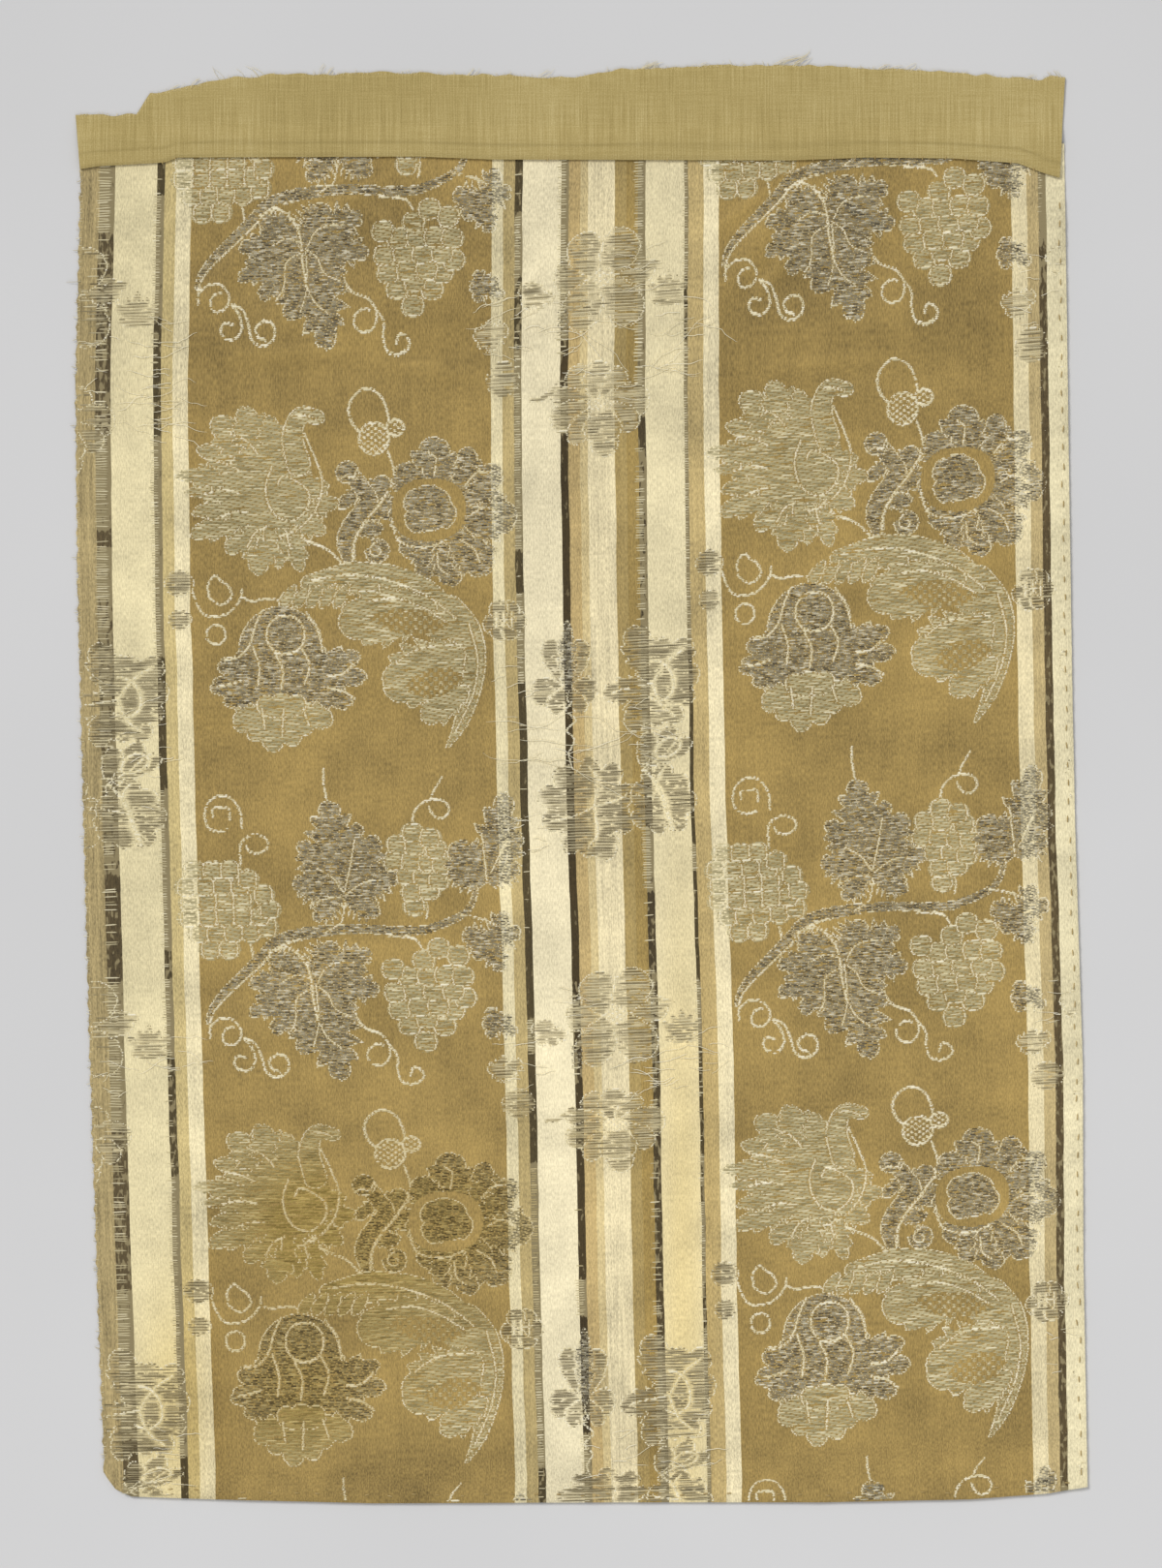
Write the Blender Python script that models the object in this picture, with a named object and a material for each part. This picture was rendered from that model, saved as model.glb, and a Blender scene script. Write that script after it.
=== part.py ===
"""A figured silk panel, two pattern repeats wide, with a plain-woven heading strip sewn over its top edge.

The panel lies face up on a flat surface: +X runs across the cloth, +Y towards the heading, +Z up.
The origin is on the surface, under the middle of the whole piece. Tables are in millimetres.
"""

import math
from collections import namedtuple

import bmesh
import bpy
from mathutils import Matrix, Vector

MM = 0.001

BROCADE_THICK = 1.2  # the ground, the floats on its back and its figures
HEADING_THICK = 1.0
EDGE_DROP = 0.5  # how far the upper face comes down at a bare edge
SEAM_GAP = 0.4  # clear space between the brocade and the heading over it

RIGHT_HEM_WIDE = 11.0
BOTTOM_HEM_WIDE = 7.0
HEM_RISE = 0.8  # the turned-in layer lifts the face by this much
HEM_SLOPE = 2.0  # width over which that rise fades out

BROCADE_TOP = 331.0  # the cut edge that the heading hides
HEM_ENDS_BELOW_TOP = 20.0
HEADING_DROP = 9.0  # run in which the heading comes down to the surface
HEADING_TURN_IN = 7.0
HEADING_TURN_RISE = 0.5

COLUMN_PITCH = 20.0
ROW_PITCH = 19.0
HEADING_ROW_PITCH = 9.0
RIM_STRIP = 2.0  # the strip beside a bare edge over which the face comes down
FIRST_COLUMN = 8.0  # where the even columns begin
HEADING_PIECES = 26  # even divisions of the heading along its length
LEAST_GAP = 0.012  # shares of its length closer than this are one column
HEADING_RIM = 1.2  # the rounded fold along its lower edge
HEADING_CLEAR = BROCADE_TOP + 1.5  # beyond here there is no brocade under the heading
HEADING_LEVEL = 366.0  # the usual height of its torn edge, for spacing rows
SHARP_ANGLE = 0.6

EdgePoint = namedtuple("EdgePoint", "along offset")

# The side edges: y and x. The cloth was cut a little off its warps, which lean right towards the bottom.
LEFT_EDGE = [
    EdgePoint(331, -258.5),
    EdgePoint(205, -261.5),
    EdgePoint(105, -260.5),
    EdgePoint(5, -258.0),
    EdgePoint(-145, -254.0),
    EdgePoint(-295, -249.0),
    EdgePoint(-356, -246.5),
]
RIGHT_EDGE = [
    EdgePoint(331, 249.0),
    EdgePoint(155, 251.5),
    EdgePoint(55, 253.0),
    EdgePoint(-20, 254.5),
    EdgePoint(-145, 258.5),
    EdgePoint(-245, 258.8),
    EdgePoint(-363, 261.0),
]

# The other edges: x and y.
BOTTOM_EDGE = [
    EdgePoint(-246.5, -356.0),
    EdgePoint(-241, -363.5),
    EdgePoint(-233, -367.5),
    EdgePoint(-190, -369.0),
    EdgePoint(-108, -371.0),
    EdgePoint(25, -370.5),
    EdgePoint(125, -370.5),
    EdgePoint(200, -369.0),
    EdgePoint(240, -366.0),
    EdgePoint(261, -362.5),
]
HEADING_LOWER_EDGE = [
    EdgePoint(-259, 317.5),
    EdgePoint(-250, 319.0),
    EdgePoint(-215, 321.0),
    EdgePoint(-209, 323.5),
    EdgePoint(-85, 324.0),
    EdgePoint(-48, 322.5),
    EdgePoint(109, 322.0),
    EdgePoint(147, 323.5),
    EdgePoint(192, 323.0),
    EdgePoint(225, 320.5),
    EdgePoint(238, 315.5),
    EdgePoint(246.5, 313.0),
]
# Torn and cut unevenly, with a step near its left end.
HEADING_UPPER_EDGE = [
    EdgePoint(-261.5, 346.0),
    EdgePoint(-230, 346.0),
    EdgePoint(-223, 356.5),
    EdgePoint(-209.5, 359.0),
    EdgePoint(-183.5, 364.5),
    EdgePoint(-159.5, 366.5),
    EdgePoint(-113, 367.5),
    EdgePoint(-39.5, 366.5),
    EdgePoint(-4, 365.0),
    EdgePoint(19.5, 369.0),
    EdgePoint(71, 371.5),
    EdgePoint(100.5, 371.5),
    EdgePoint(167, 369.5),
    EdgePoint(197, 366.5),
    EdgePoint(236.5, 364.0),
    EdgePoint(241.5, 366.0),
    EdgePoint(249.5, 365.5),
]

Ripple = namedtuple("Ripple", "x y half_length half_width turn_deg rise")

# Places where the cloth lifts off the surface in a long low wave.
RIPPLES = [
    Ripple(-130, 240, 92, 30, 4, 1.7),
    Ripple(150, 238, 86, 28, -5, 1.6),
    Ripple(-172, 276, 46, 12, 52, 1.0),
    Ripple(-92, 284, 40, 11, -48, 0.9),
    Ripple(92, 280, 44, 12, 58, 1.0),
    Ripple(178, 272, 42, 12, -40, 0.9),
    Ripple(-92, 58, 72, 24, -9, 1.9),
    Ripple(-196, 40, 40, 15, 6, 1.0),
    Ripple(112, 52, 66, 22, 7, 1.2),
    Ripple(-30, 176, 70, 10, 86, 0.8),
    Ripple(206, 118, 60, 13, 78, 0.9),
    Ripple(-150, -120, 80, 22, 12, 0.9),
    Ripple(140, -150, 84, 24, -14, 0.8),
    Ripple(-214, -240, 60, 16, 80, 0.9),
    Ripple(36, -286, 74, 18, 8, 0.8),
]


def on_table(table, along):
    """The edge's offset at this place along it, read in straight runs between the table's points."""
    points = sorted(table)
    if along <= points[0].along:
        return points[0].offset
    for low, high in zip(points, points[1:]):
        if along <= high.along:
            share = (along - low.along) / (high.along - low.along)
            return low.offset + share * (high.offset - low.offset)
    return points[-1].offset


def eased(share):
    """0 to 1 with no corner at either end."""
    share = min(max(share, 0.0), 1.0)
    return share * share * (3 - 2 * share)


def ripple_height(x, y):
    """How far the underside is off the surface, in millimetres. It is exactly 0 outside the waves."""
    height = 0.0
    for wave in RIPPLES:
        away = Vector((x - wave.x, y - wave.y, 0))
        away.rotate(Matrix.Rotation(-math.radians(wave.turn_deg), 3, "Z"))
        spread = (away.x / wave.half_length) ** 2 + (away.y / wave.half_width) ** 2
        if spread < 1:
            height += wave.rise * (1 - spread) ** 2
    return height


def hem_height(from_right, from_bottom, y):
    """The rise of the face over the two turned-in edges. It ends below the heading, which stays flat."""
    right = 1 - eased((from_right - RIGHT_HEM_WIDE) / HEM_SLOPE)
    right *= eased((BROCADE_TOP - HEM_ENDS_BELOW_TOP - y) / HEM_ENDS_BELOW_TOP)
    bottom = 1 - eased((from_bottom - BOTTOM_HEM_WIDE) / HEM_SLOPE)
    return HEM_RISE * max(right, bottom)


def steps(start, end, pitch):
    """Evenly spaced places from start to end, both included, about a pitch apart."""
    count = max(1, round(abs(end - start) / pitch))
    return [start + (end - start) * i / count for i in range(count + 1)]


def fabric(name, colour, roughness):
    material = bpy.data.materials.new(name)
    material.use_nodes = True
    shader = material.node_tree.nodes["Principled BSDF"]
    shader.inputs["Base Color"].default_value = (*colour, 1.0)
    shader.inputs["Roughness"].default_value = roughness
    shader.inputs["Metallic"].default_value = 0.0
    material.diffuse_color = (*colour, 1.0)
    return material


def sheet_object(name, under, over, material):
    """One closed sheet from two grids of points, under and over, with walls round their edges."""
    mesh = bmesh.new()
    low = [[mesh.verts.new(Vector(p) * MM) for p in row] for row in under]
    high = [[mesh.verts.new(Vector(p) * MM) for p in row] for row in over]
    rows, columns = len(low), len(low[0])
    for i in range(rows - 1):
        for j in range(columns - 1):
            mesh.faces.new((high[i][j], high[i][j + 1], high[i + 1][j + 1], high[i + 1][j]))
            mesh.faces.new((low[i][j], low[i + 1][j], low[i + 1][j + 1], low[i][j + 1]))
    for j in range(columns - 1):
        mesh.faces.new((low[0][j], low[0][j + 1], high[0][j + 1], high[0][j]))
        mesh.faces.new((low[-1][j + 1], low[-1][j], high[-1][j], high[-1][j + 1]))
    for i in range(rows - 1):
        mesh.faces.new((low[i + 1][0], low[i][0], high[i][0], high[i + 1][0]))
        mesh.faces.new((low[i][-1], low[i + 1][-1], high[i + 1][-1], high[i][-1]))
    data = bpy.data.meshes.new(name)
    mesh.to_mesh(data)
    mesh.free()
    data.materials.append(material)
    data.shade_smooth()
    data.set_sharp_from_angle(angle=SHARP_ANGLE)
    piece = bpy.data.objects.new(name, data)
    bpy.context.scene.collection.objects.link(piece)
    return piece


def brocade_panel():
    """The figured cloth: bare at its left edge, turned in at its right and bottom edges."""
    wide = RIGHT_EDGE[0].offset - LEFT_EDGE[0].offset
    tall = BROCADE_TOP - BOTTOM_EDGE[0].offset
    inner = RIGHT_HEM_WIDE + HEM_SLOPE
    even = steps(FIRST_COLUMN, wide - inner, COLUMN_PITCH)
    columns = [0, RIM_STRIP, *even, wide - RIGHT_HEM_WIDE, wide - RIM_STRIP, wide]
    inner = BOTTOM_HEM_WIDE + HEM_SLOPE
    rows = [0, RIM_STRIP, BOTTOM_HEM_WIDE, *steps(inner, tall - RIM_STRIP, ROW_PITCH), tall]
    under, over = [], []
    for row in rows:
        lower_row, upper_row = [], []
        for column in columns:
            across = column / wide
            up = row / tall
            y = BROCADE_TOP - tall * (1 - up)
            x = on_table(LEFT_EDGE, y) * (1 - across) + on_table(RIGHT_EDGE, y) * across
            y = on_table(BOTTOM_EDGE, x) * (1 - up) + BROCADE_TOP * up
            lift = ripple_height(x, y)
            face = lift + BROCADE_THICK + hem_height(wide - column, row, y)
            if row in (0, rows[-1]) or column in (0, columns[-1]):
                face -= EDGE_DROP
            lower_row.append((x, y, lift))
            upper_row.append((x, y, face))
        under.append(lower_row)
        over.append(upper_row)
    return sheet_object("brocade_panel", under, over, fabric("figured_silk", (0.36, 0.25, 0.11), 0.6))


def heading_band():
    """The strip sewn over the brocade's top edge: it lies on the brocade, then comes down to the surface."""
    lower, upper = HEADING_LOWER_EDGE, HEADING_UPPER_EDGE
    ends = {(point.along - upper[0].along) / (upper[-1].along - upper[0].along) for point in upper}
    evenly = steps(0.0, 1.0, 1 / HEADING_PIECES)
    between = {share for share in evenly if min(abs(share - end) for end in ends) > LEAST_GAP}
    shares = sorted(ends | between)
    on_brocade = BROCADE_THICK + SEAM_GAP
    under, over = [], []
    for share in shares:
        low_x = lower[0].along + share * (lower[-1].along - lower[0].along)
        top_x = upper[0].along + share * (upper[-1].along - upper[0].along)
        fold = on_table(lower, low_x)
        torn = on_table(upper, top_x)
        down = HEADING_CLEAR + HEADING_DROP
        places = [fold, fold + HEADING_RIM, fold + HEADING_TURN_IN, HEADING_CLEAR, down]
        lifts = [on_brocade] * 4 + [0.0]
        rises = [HEADING_TURN_RISE - EDGE_DROP, HEADING_TURN_RISE, HEADING_TURN_RISE, 0.0, 0.0]
        beyond = steps(down, HEADING_LEVEL, HEADING_ROW_PITCH)[1:]
        span = (torn - down) / (HEADING_LEVEL - down)
        places += [down + (y - down) * span for y in beyond]
        lifts += [0.0] * len(beyond)
        rises += [0.0] * (len(beyond) - 1) + [-EDGE_DROP]
        lower_column, upper_column = [], []
        for y, lift, rise in zip(places, lifts, rises):
            lean = (y - fold) / (torn - fold)
            x = low_x + lean * (top_x - low_x)
            lower_column.append((x, y, lift))
            upper_column.append((x, y, lift + HEADING_THICK + rise))
        under.append(lower_column)
        over.append(upper_column)
    # The grids run column by column, so their rows are turned round to keep the faces outward.
    return sheet_object("heading_band", under[::-1], over[::-1], fabric("plain_cotton", (0.39, 0.33, 0.13), 0.85))


def main():
    for old in list(bpy.data.objects):
        bpy.data.objects.remove(old, do_unlink=True)
    brocade_panel()
    heading_band()


main()
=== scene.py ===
"""Looks of a figured silk panel with a cotton heading, laid out face up on a pale table.

Lengths in the tables are millimetres. The figures are charted square by square, as a weaver's
point paper, and each run of squares becomes one float of thread lying over the striped silk.
"""

import math
from collections import namedtuple

import bpy
import numpy as np
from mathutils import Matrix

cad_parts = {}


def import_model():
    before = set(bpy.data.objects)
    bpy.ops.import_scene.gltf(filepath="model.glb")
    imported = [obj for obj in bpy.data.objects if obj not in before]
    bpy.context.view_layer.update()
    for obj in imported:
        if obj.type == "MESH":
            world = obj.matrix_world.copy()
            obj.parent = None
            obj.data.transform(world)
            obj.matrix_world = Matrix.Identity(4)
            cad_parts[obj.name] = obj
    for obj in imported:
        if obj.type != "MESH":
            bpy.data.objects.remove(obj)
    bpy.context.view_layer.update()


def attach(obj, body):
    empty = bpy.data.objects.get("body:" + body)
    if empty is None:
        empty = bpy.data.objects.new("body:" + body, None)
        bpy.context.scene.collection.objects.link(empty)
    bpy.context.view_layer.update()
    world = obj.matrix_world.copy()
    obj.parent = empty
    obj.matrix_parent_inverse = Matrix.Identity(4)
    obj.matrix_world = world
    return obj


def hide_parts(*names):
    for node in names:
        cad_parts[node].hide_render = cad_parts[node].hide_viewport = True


MM = 0.001


def table(columns, rows):
    """Rows of plain values, read by the names of their columns."""
    return [columns(*row) for row in rows]


# ---------------------------------------------------------------- the cloth's own shape

BROCADE_THICK = 1.2
HEADING_THICK = 1.0
EDGE_DROP = 0.5
SEAM_GAP = 0.4
RIGHT_HEM_WIDE = 11.0
BOTTOM_HEM_WIDE = 7.0
HEM_RISE = 0.8
HEM_SLOPE = 2.0
BROCADE_TOP = 331.0
HEM_ENDS_BELOW_TOP = 20.0
STITCH_PITCH = 9.6  # along the right hem
HEADING_DROP = 9.0
HEADING_TURN_IN = 7.0
HEADING_TURN_RISE = 0.5
HEADING_CLEAR = BROCADE_TOP + 1.5  # from here up there is no brocade under the heading

EdgePoint = namedtuple("EdgePoint", "along offset")
LEFT_EDGE = table(EdgePoint, [
    (-356, -246.5), (-295, -249), (-145, -254), (5, -258), (105, -260.5), (205, -261.5),
    (331, -258.5),
])
RIGHT_EDGE = table(EdgePoint, [
    (-363, 261), (-245, 258.8), (-145, 258.5), (-20, 254.5), (55, 253), (155, 251.5), (331, 249),
])
BOTTOM_EDGE = table(EdgePoint, [
    (-246.5, -356), (-241, -363.5), (-233, -367.5), (-190, -369), (-108, -371), (25, -370.5),
    (125, -370.5), (200, -369), (240, -366), (261, -362.5),
])
HEADING_LOWER_EDGE = table(EdgePoint, [
    (-259, 317.5), (-250, 319), (-215, 321), (-209, 323.5), (-85, 324), (-48, 322.5), (109, 322),
    (147, 323.5), (192, 323), (225, 320.5), (238, 315.5), (246.5, 313),
])
HEADING_UPPER_EDGE = table(EdgePoint, [
    (-261.5, 346), (-230, 346), (-223, 356.5), (-209.5, 359), (-183.5, 364.5), (-159.5, 366.5),
    (-113, 367.5), (-39.5, 366.5), (-4, 365), (19.5, 369), (71, 371.5), (100.5, 371.5),
    (167, 369.5), (197, 366.5), (236.5, 364), (241.5, 366), (249.5, 365.5),
])

Ripple = namedtuple("Ripple", "x y half_length half_width turn_deg rise")
RIPPLES = table(Ripple, [
    (-130, 240, 92, 30, 4, 1.7), (150, 238, 86, 28, -5, 1.6), (-172, 276, 46, 12, 52, 1.0),
    (-92, 284, 40, 11, -48, 0.9), (92, 280, 44, 12, 58, 1.0), (178, 272, 42, 12, -40, 0.9),
    (-92, 58, 72, 24, -9, 1.9), (-196, 40, 40, 15, 6, 1.0), (112, 52, 66, 22, 7, 1.2),
    (-30, 176, 70, 10, 86, 0.8), (206, 118, 60, 13, 78, 0.9), (-150, -120, 80, 22, 12, 0.9),
    (140, -150, 84, 24, -14, 0.8), (-214, -240, 60, 16, 80, 0.9), (36, -286, 74, 18, 8, 0.8),
])

# Sharper folds pressed into the silk, mostly near its top.
CREASES = table(Ripple, [
    (-212, 292, 26, 4.5, 48, 1), (-120, 302, 34, 5, 30, 1.2), (-96, 288, 30, 4.5, -34, 0.9),
    (-70, 272, 26, 5, 40, 0.9), (-190, 250, 30, 6, -22, 0.9), (-150, 222, 46, 7, 3, 1),
    (-80, 214, 40, 6, -8, 0.9), (82, 296, 28, 5, 38, 1.2), (98, 262, 30, 5, 52, 1),
    (150, 290, 30, 5, -36, 0.9), (196, 290, 24, 5, 40, 0.9), (208, 246, 26, 5, -44, 0.9),
    (130, 218, 46, 7, 5, 1), (-26, 262, 18, 3, 64, 0.8), (-34, 210, 20, 3, 78, 0.6),
    (42, 230, 24, 3, 70, 0.6), (-228, 222, 18, 3, 58, 0.8), (-224, 150, 20, 3, 70, 0.6),
])

# ---------------------------------------------------------------- the weave

CLOTH_WIDE = 513.0  # across the warps, from the left edge to the right fold
REPEAT_WIDE = 273.5
REPEAT_TALL = 370.0
FIRST_REPEAT = 57.8  # where the first whole ground stripe starts
SQUARE = 0.5  # one square of the chart across
WEFTS = 493  # rows of the chart in one repeat
WEFT = REPEAT_TALL / WEFTS
WEFT_BOW = 6e-5
WEFT_LEVEL_AT = -125.0

Level = namedtuple("Level", "row y")
# Heights of the weave's rows where x is WEFT_LEVEL_AT. Years of hanging have drawn the cloth out
# unevenly.
LEVELS = table(Level, [
    (-250, -402), (-216, -368.5), (-192, -351), (-160, -317), (-130, -285), (-105, -261),
    (-60, -217.5), (-33, -192), (-7, -169), (20, -140), (360, 200), (364, 204.5), (380, 227), (391, 240),
    (454, 305.5), (500, 357),
])

NOTHING, TWILL, FLAT, LINED, OUTLINE = range(5)  # what each square of the chart holds


def offsets(edge, along):
    return np.interp(along, [point.along for point in edge], [point.offset for point in edge])


def eased(share):
    share = np.clip(share, 0.0, 1.0)
    return share * share * (3 - 2 * share)


def patches_over(x, y, patches):
    """A soft-edged patch for each row of a table, with its strength where it states one."""
    strengths = [getattr(patch, "amount", 1.0) for patch in patches]
    return sum(
        strength * np.exp(-(((x - p.x) / p.half_wide) ** 2) - ((y - p.y) / p.half_tall) ** 2)
        for p, strength in zip(patches, strengths)
    )


def ripple_height(x, y, waves=None):
    height = np.zeros(np.broadcast(x, y).shape)
    for wave in waves or RIPPLES:
        turn = math.radians(wave.turn_deg)
        along = (x - wave.x) * math.cos(turn) + (y - wave.y) * math.sin(turn)
        aside = (y - wave.y) * math.cos(turn) - (x - wave.x) * math.sin(turn)
        spread = (along / wave.half_length) ** 2 + (aside / wave.half_width) ** 2
        height += wave.rise * np.clip(1 - spread, 0, None) ** 2
    return height


def hem_height(x, y):
    left, right = offsets(LEFT_EDGE, y), offsets(RIGHT_EDGE, y)
    wide = RIGHT_EDGE[-1].offset - LEFT_EDGE[-1].offset
    tall = BROCADE_TOP - BOTTOM_EDGE[0].offset
    from_right = (right - x) / (right - left) * wide
    low = offsets(BOTTOM_EDGE, x)
    from_bottom = (y - low) / (BROCADE_TOP - low) * tall
    side = 1 - eased((from_right - RIGHT_HEM_WIDE) / HEM_SLOPE)
    side = side * eased((BROCADE_TOP - HEM_ENDS_BELOW_TOP - y) / HEM_ENDS_BELOW_TOP)
    foot = 1 - eased((from_bottom - BOTTOM_HEM_WIDE) / HEM_SLOPE)
    return HEM_RISE * np.maximum(side, foot)


def cockle(x, y):
    """The small unevenness of old silk: shallow puckers a few centimetres apart, and a tuck at
    each hem stitch."""
    small = 0.10 * np.sin(x / 9.0 + 1.7 * np.sin(y / 31.0)) * np.sin(y / 13.0 + np.sin(x / 23.0))
    small = small + 0.07 * np.sin(x / 4.1 + y / 17.0) * np.sin(y / 5.3 - x / 29.0)
    from_right = offsets(RIGHT_EDGE, y) - x
    tuck = np.exp(-(((from_right - 4.0) / 4.0) ** 2)) * 0.5 * np.sin(y * 2 * math.pi / STITCH_PITCH)
    creased = ripple_height(x, y, CREASES) + 0.8 * ripple_height(x, y)
    return small + tuck + creased


def face_height(x, y):
    """How high the brocade's face is over the table."""
    return ripple_height(x, y) + BROCADE_THICK + hem_height(x, y) + cockle(x, y)


def weft_rise(x, y):
    """The wefts climb to the right, more steeply near the top."""
    lean = np.interp(y, [0, 190], [0.040, 0.053])
    return lean * (x - WEFT_LEVEL_AT) + WEFT_BOW * (x * x - WEFT_LEVEL_AT**2)


def level_y(row):
    return np.interp(row, [level.row for level in LEVELS], [level.y for level in LEVELS])


def row_of_level(y):
    return np.interp(y, [level.y for level in LEVELS], [level.row for level in LEVELS])


def on_table(across, row):
    """Where a point of the weave lies: across the warps and along them, to x and y."""
    y = level_y(row)
    for _ in range(5):
        left, right = offsets(LEFT_EDGE, y), offsets(RIGHT_EDGE, y)
        x = left + across / CLOTH_WIDE * (right - left)
        y = level_y(row) + weft_rise(x, y)
    return x, y


def in_weave(x, y):
    left, right = offsets(LEFT_EDGE, y), offsets(RIGHT_EDGE, y)
    return (x - left) / (right - left) * CLOTH_WIDE, row_of_level(y - weft_rise(x, y))


# ---------------------------------------------------------------- shapes for the chart

Shape = namedtuple("Shape", "left right low high holds")


def smooth(points, closed=False, pieces=8):
    """A curve drawn evenly through a few points."""
    points = np.array(points, float)
    count = len(points)
    if closed:
        ring = np.vstack([points[-1], points, points[:2]])
    else:
        ring = np.vstack([2 * points[0] - points[1], points, 2 * points[-1] - points[-2]])
    share = np.linspace(0, 1, pieces, endpoint=False)[:, None]
    runs = []
    for i in range(count if closed else count - 1):
        a, b, c, d = ring[i], ring[i + 1], ring[i + 2], ring[i + 3]
        cubic = (-a + 3 * b - 3 * c + d) * share**3 + (2 * a - 5 * b + 4 * c - d) * share**2
        runs.append((cubic + (c - a) * share + 2 * b) / 2)
    if not closed:
        runs.append(points[-1:])
    return np.vstack(runs)


def boxed(points, margin, holds):
    points = np.array(points, float)
    low, high = points.min(axis=0) - margin, points.max(axis=0) + margin
    return Shape(low[0], high[0], low[1], high[1], holds)


def oval(p, t, half_wide, half_tall, square=2.0):
    """An oval, or with a higher square a fuller one that the weaver's steps press towards a
    block."""

    def holds(across, along):
        return np.abs((across - p) / half_wide) ** square + np.abs((along - t) / half_tall) ** square <= 1

    return boxed([(p, t)], max(half_wide, half_tall), holds)


def petal(start, tip, wide, teeth=0, fullest=0.5, pointed=0.8, depth=0.22):
    """A lobe from its base to its tip. Its edge steps out into teeth that lean towards the tip."""
    start, tip = np.array(start, float), np.array(tip, float)
    reach = tip - start
    length = float(np.hypot(*reach))

    def holds(across, along):
        away = ((across - start[0]) * reach[0] + (along - start[1]) * reach[1]) / length**2
        aside = ((across - start[0]) * reach[1] - (along - start[1]) * reach[0]) / length
        rising = np.clip(away / fullest, 0, 1)
        falling = np.clip((1 - away) / (1 - fullest), 0, 1)
        half = np.sin(math.pi / 2 * rising) ** 0.6 * np.sin(math.pi / 2 * falling) ** pointed
        if teeth:
            phase = away * teeth + 0.25 * (aside > 0)
            tooth = 1 - depth + 2 * depth * (phase % 1.0)
            half = half * tooth + depth * 0.2 * (away > 0.5) * (falling > 0)
        return (away > 0) & (away < 1) & (np.abs(aside) < wide / 2 * half)

    return boxed([start, tip], wide * 0.7, holds)


def stroke(points, widths, pieces=8):
    """A line with its width read evenly along it. Steps of the chart keep it a little ragged."""
    line = smooth(points, pieces=pieces)
    run = np.concatenate([[0], np.cumsum(np.hypot(*np.diff(line, axis=0).T))])
    widths = np.atleast_1d(widths)
    half = np.interp(run / run[-1], np.linspace(0, 1, len(widths)), widths) / 2

    def holds(across, along):
        inside = np.zeros(across.shape, bool)
        for i in range(len(line) - 1):
            (ax, ay), (bx, by) = line[i], line[i + 1]
            length2 = (bx - ax) ** 2 + (by - ay) ** 2 + 1e-9
            share = np.clip(((across - ax) * (bx - ax) + (along - ay) * (by - ay)) / length2, 0, 1)
            gap = np.hypot(across - ax - share * (bx - ax), along - ay - share * (by - ay))
            inside |= gap <= half[i] + share * (half[i + 1] - half[i])
        return inside

    return boxed(line, half.max() + 0.5, holds)


def together(*shapes):
    def holds(across, along):
        inside = shapes[0].holds(across, along)
        for shape in shapes[1:]:
            inside = inside | shape.holds(across, along)
        return inside

    return Shape(
        min(s.left for s in shapes), max(s.right for s in shapes),
        min(s.low for s in shapes), max(s.high for s in shapes), holds,
    )


def spiral(p, t, radius, turns, start_deg, way=1, inner=0.3):
    """Points of a curl that winds in from its outer end."""
    count = int(turns * 12) + 1
    share = np.linspace(0, 1, count)
    angle = math.radians(start_deg) + way * share * turns * 2 * math.pi
    size = radius * (1 - (1 - inner) * share)
    return [(p + r * math.cos(a), t + r * math.sin(a)) for r, a in zip(size, angle)]


class PointPaper:
    """The chart of one repeat. It wraps round at its edges, so a figure may be drawn across
    them."""

    def __init__(self):
        self.columns = round(REPEAT_WIDE / SQUARE)
        self.squares = np.zeros((WEFTS, self.columns), np.int8)
        self.chance = np.random.default_rng(11)

    def fill(self, shape, thread, outlined=0.85):
        """Fills a shape. Its rim is worked in the outline thread, with some of the rim left out."""
        columns = np.arange(math.floor(shape.left / SQUARE) - 2, math.ceil(shape.right / SQUARE) + 3)
        rows = np.arange(math.floor(shape.low / WEFT) - 2, math.ceil(shape.high / WEFT) + 3)
        across, along = np.meshgrid((columns + 0.5) * SQUARE, (rows + 0.5) * WEFT)
        inside = shape.holds(across, along)
        place = np.ix_(rows % WEFTS, columns % self.columns)
        paper = self.squares[place]
        paper[inside] = thread
        if outlined:
            core = inside.copy()
            core[:, 2:] &= inside[:, :-2]
            core[:, :-2] &= inside[:, 2:]
            core[1:] &= inside[:-1]
            core[:-1] &= inside[1:]
            shown = self.chance.random((len(rows), len(columns) // 4 + 1)) < outlined
            shown = np.repeat(shown, 4, axis=1)[:, : len(columns)]
            paper[inside & ~core & shown] = OUTLINE
        self.squares[place] = paper

    def line(self, points, wide=1.3):
        self.fill(stroke(points, wide), OUTLINE, outlined=0)

    def lines(self, curves, width):
        for curve in curves:
            self.line(curve, width)

    def chequer(self, shape, thread, wide=2.0, tall=1.5):
        """A small chequer of thread on the ground, for the nets and the seeded centres."""

        def holds(across, along):
            odd = (np.floor(across / wide) + np.floor(along / tall)) % 2 == 0
            return shape.holds(across, along) & odd

        self.fill(shape, NOTHING, outlined=0)
        self.fill(Shape(shape.left, shape.right, shape.low, shape.high, holds), thread, outlined=0)


# ---------------------------------------------------------------- the figures

Lobe = namedtuple("Lobe", "p t wide")
Berry = namedtuple("Berry", "p t")
Petal = namedtuple("Petal", "from_p from_t p t wide")


def leaf(centre, lobes, teeth=5, depth=0.38):
    """A vine leaf: toothed lobes that share one heart."""
    parts = [petal(centre, (l.p, l.t), l.wide, teeth, 0.52, 0.7, depth) for l in lobes]
    return together(*parts)


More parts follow.
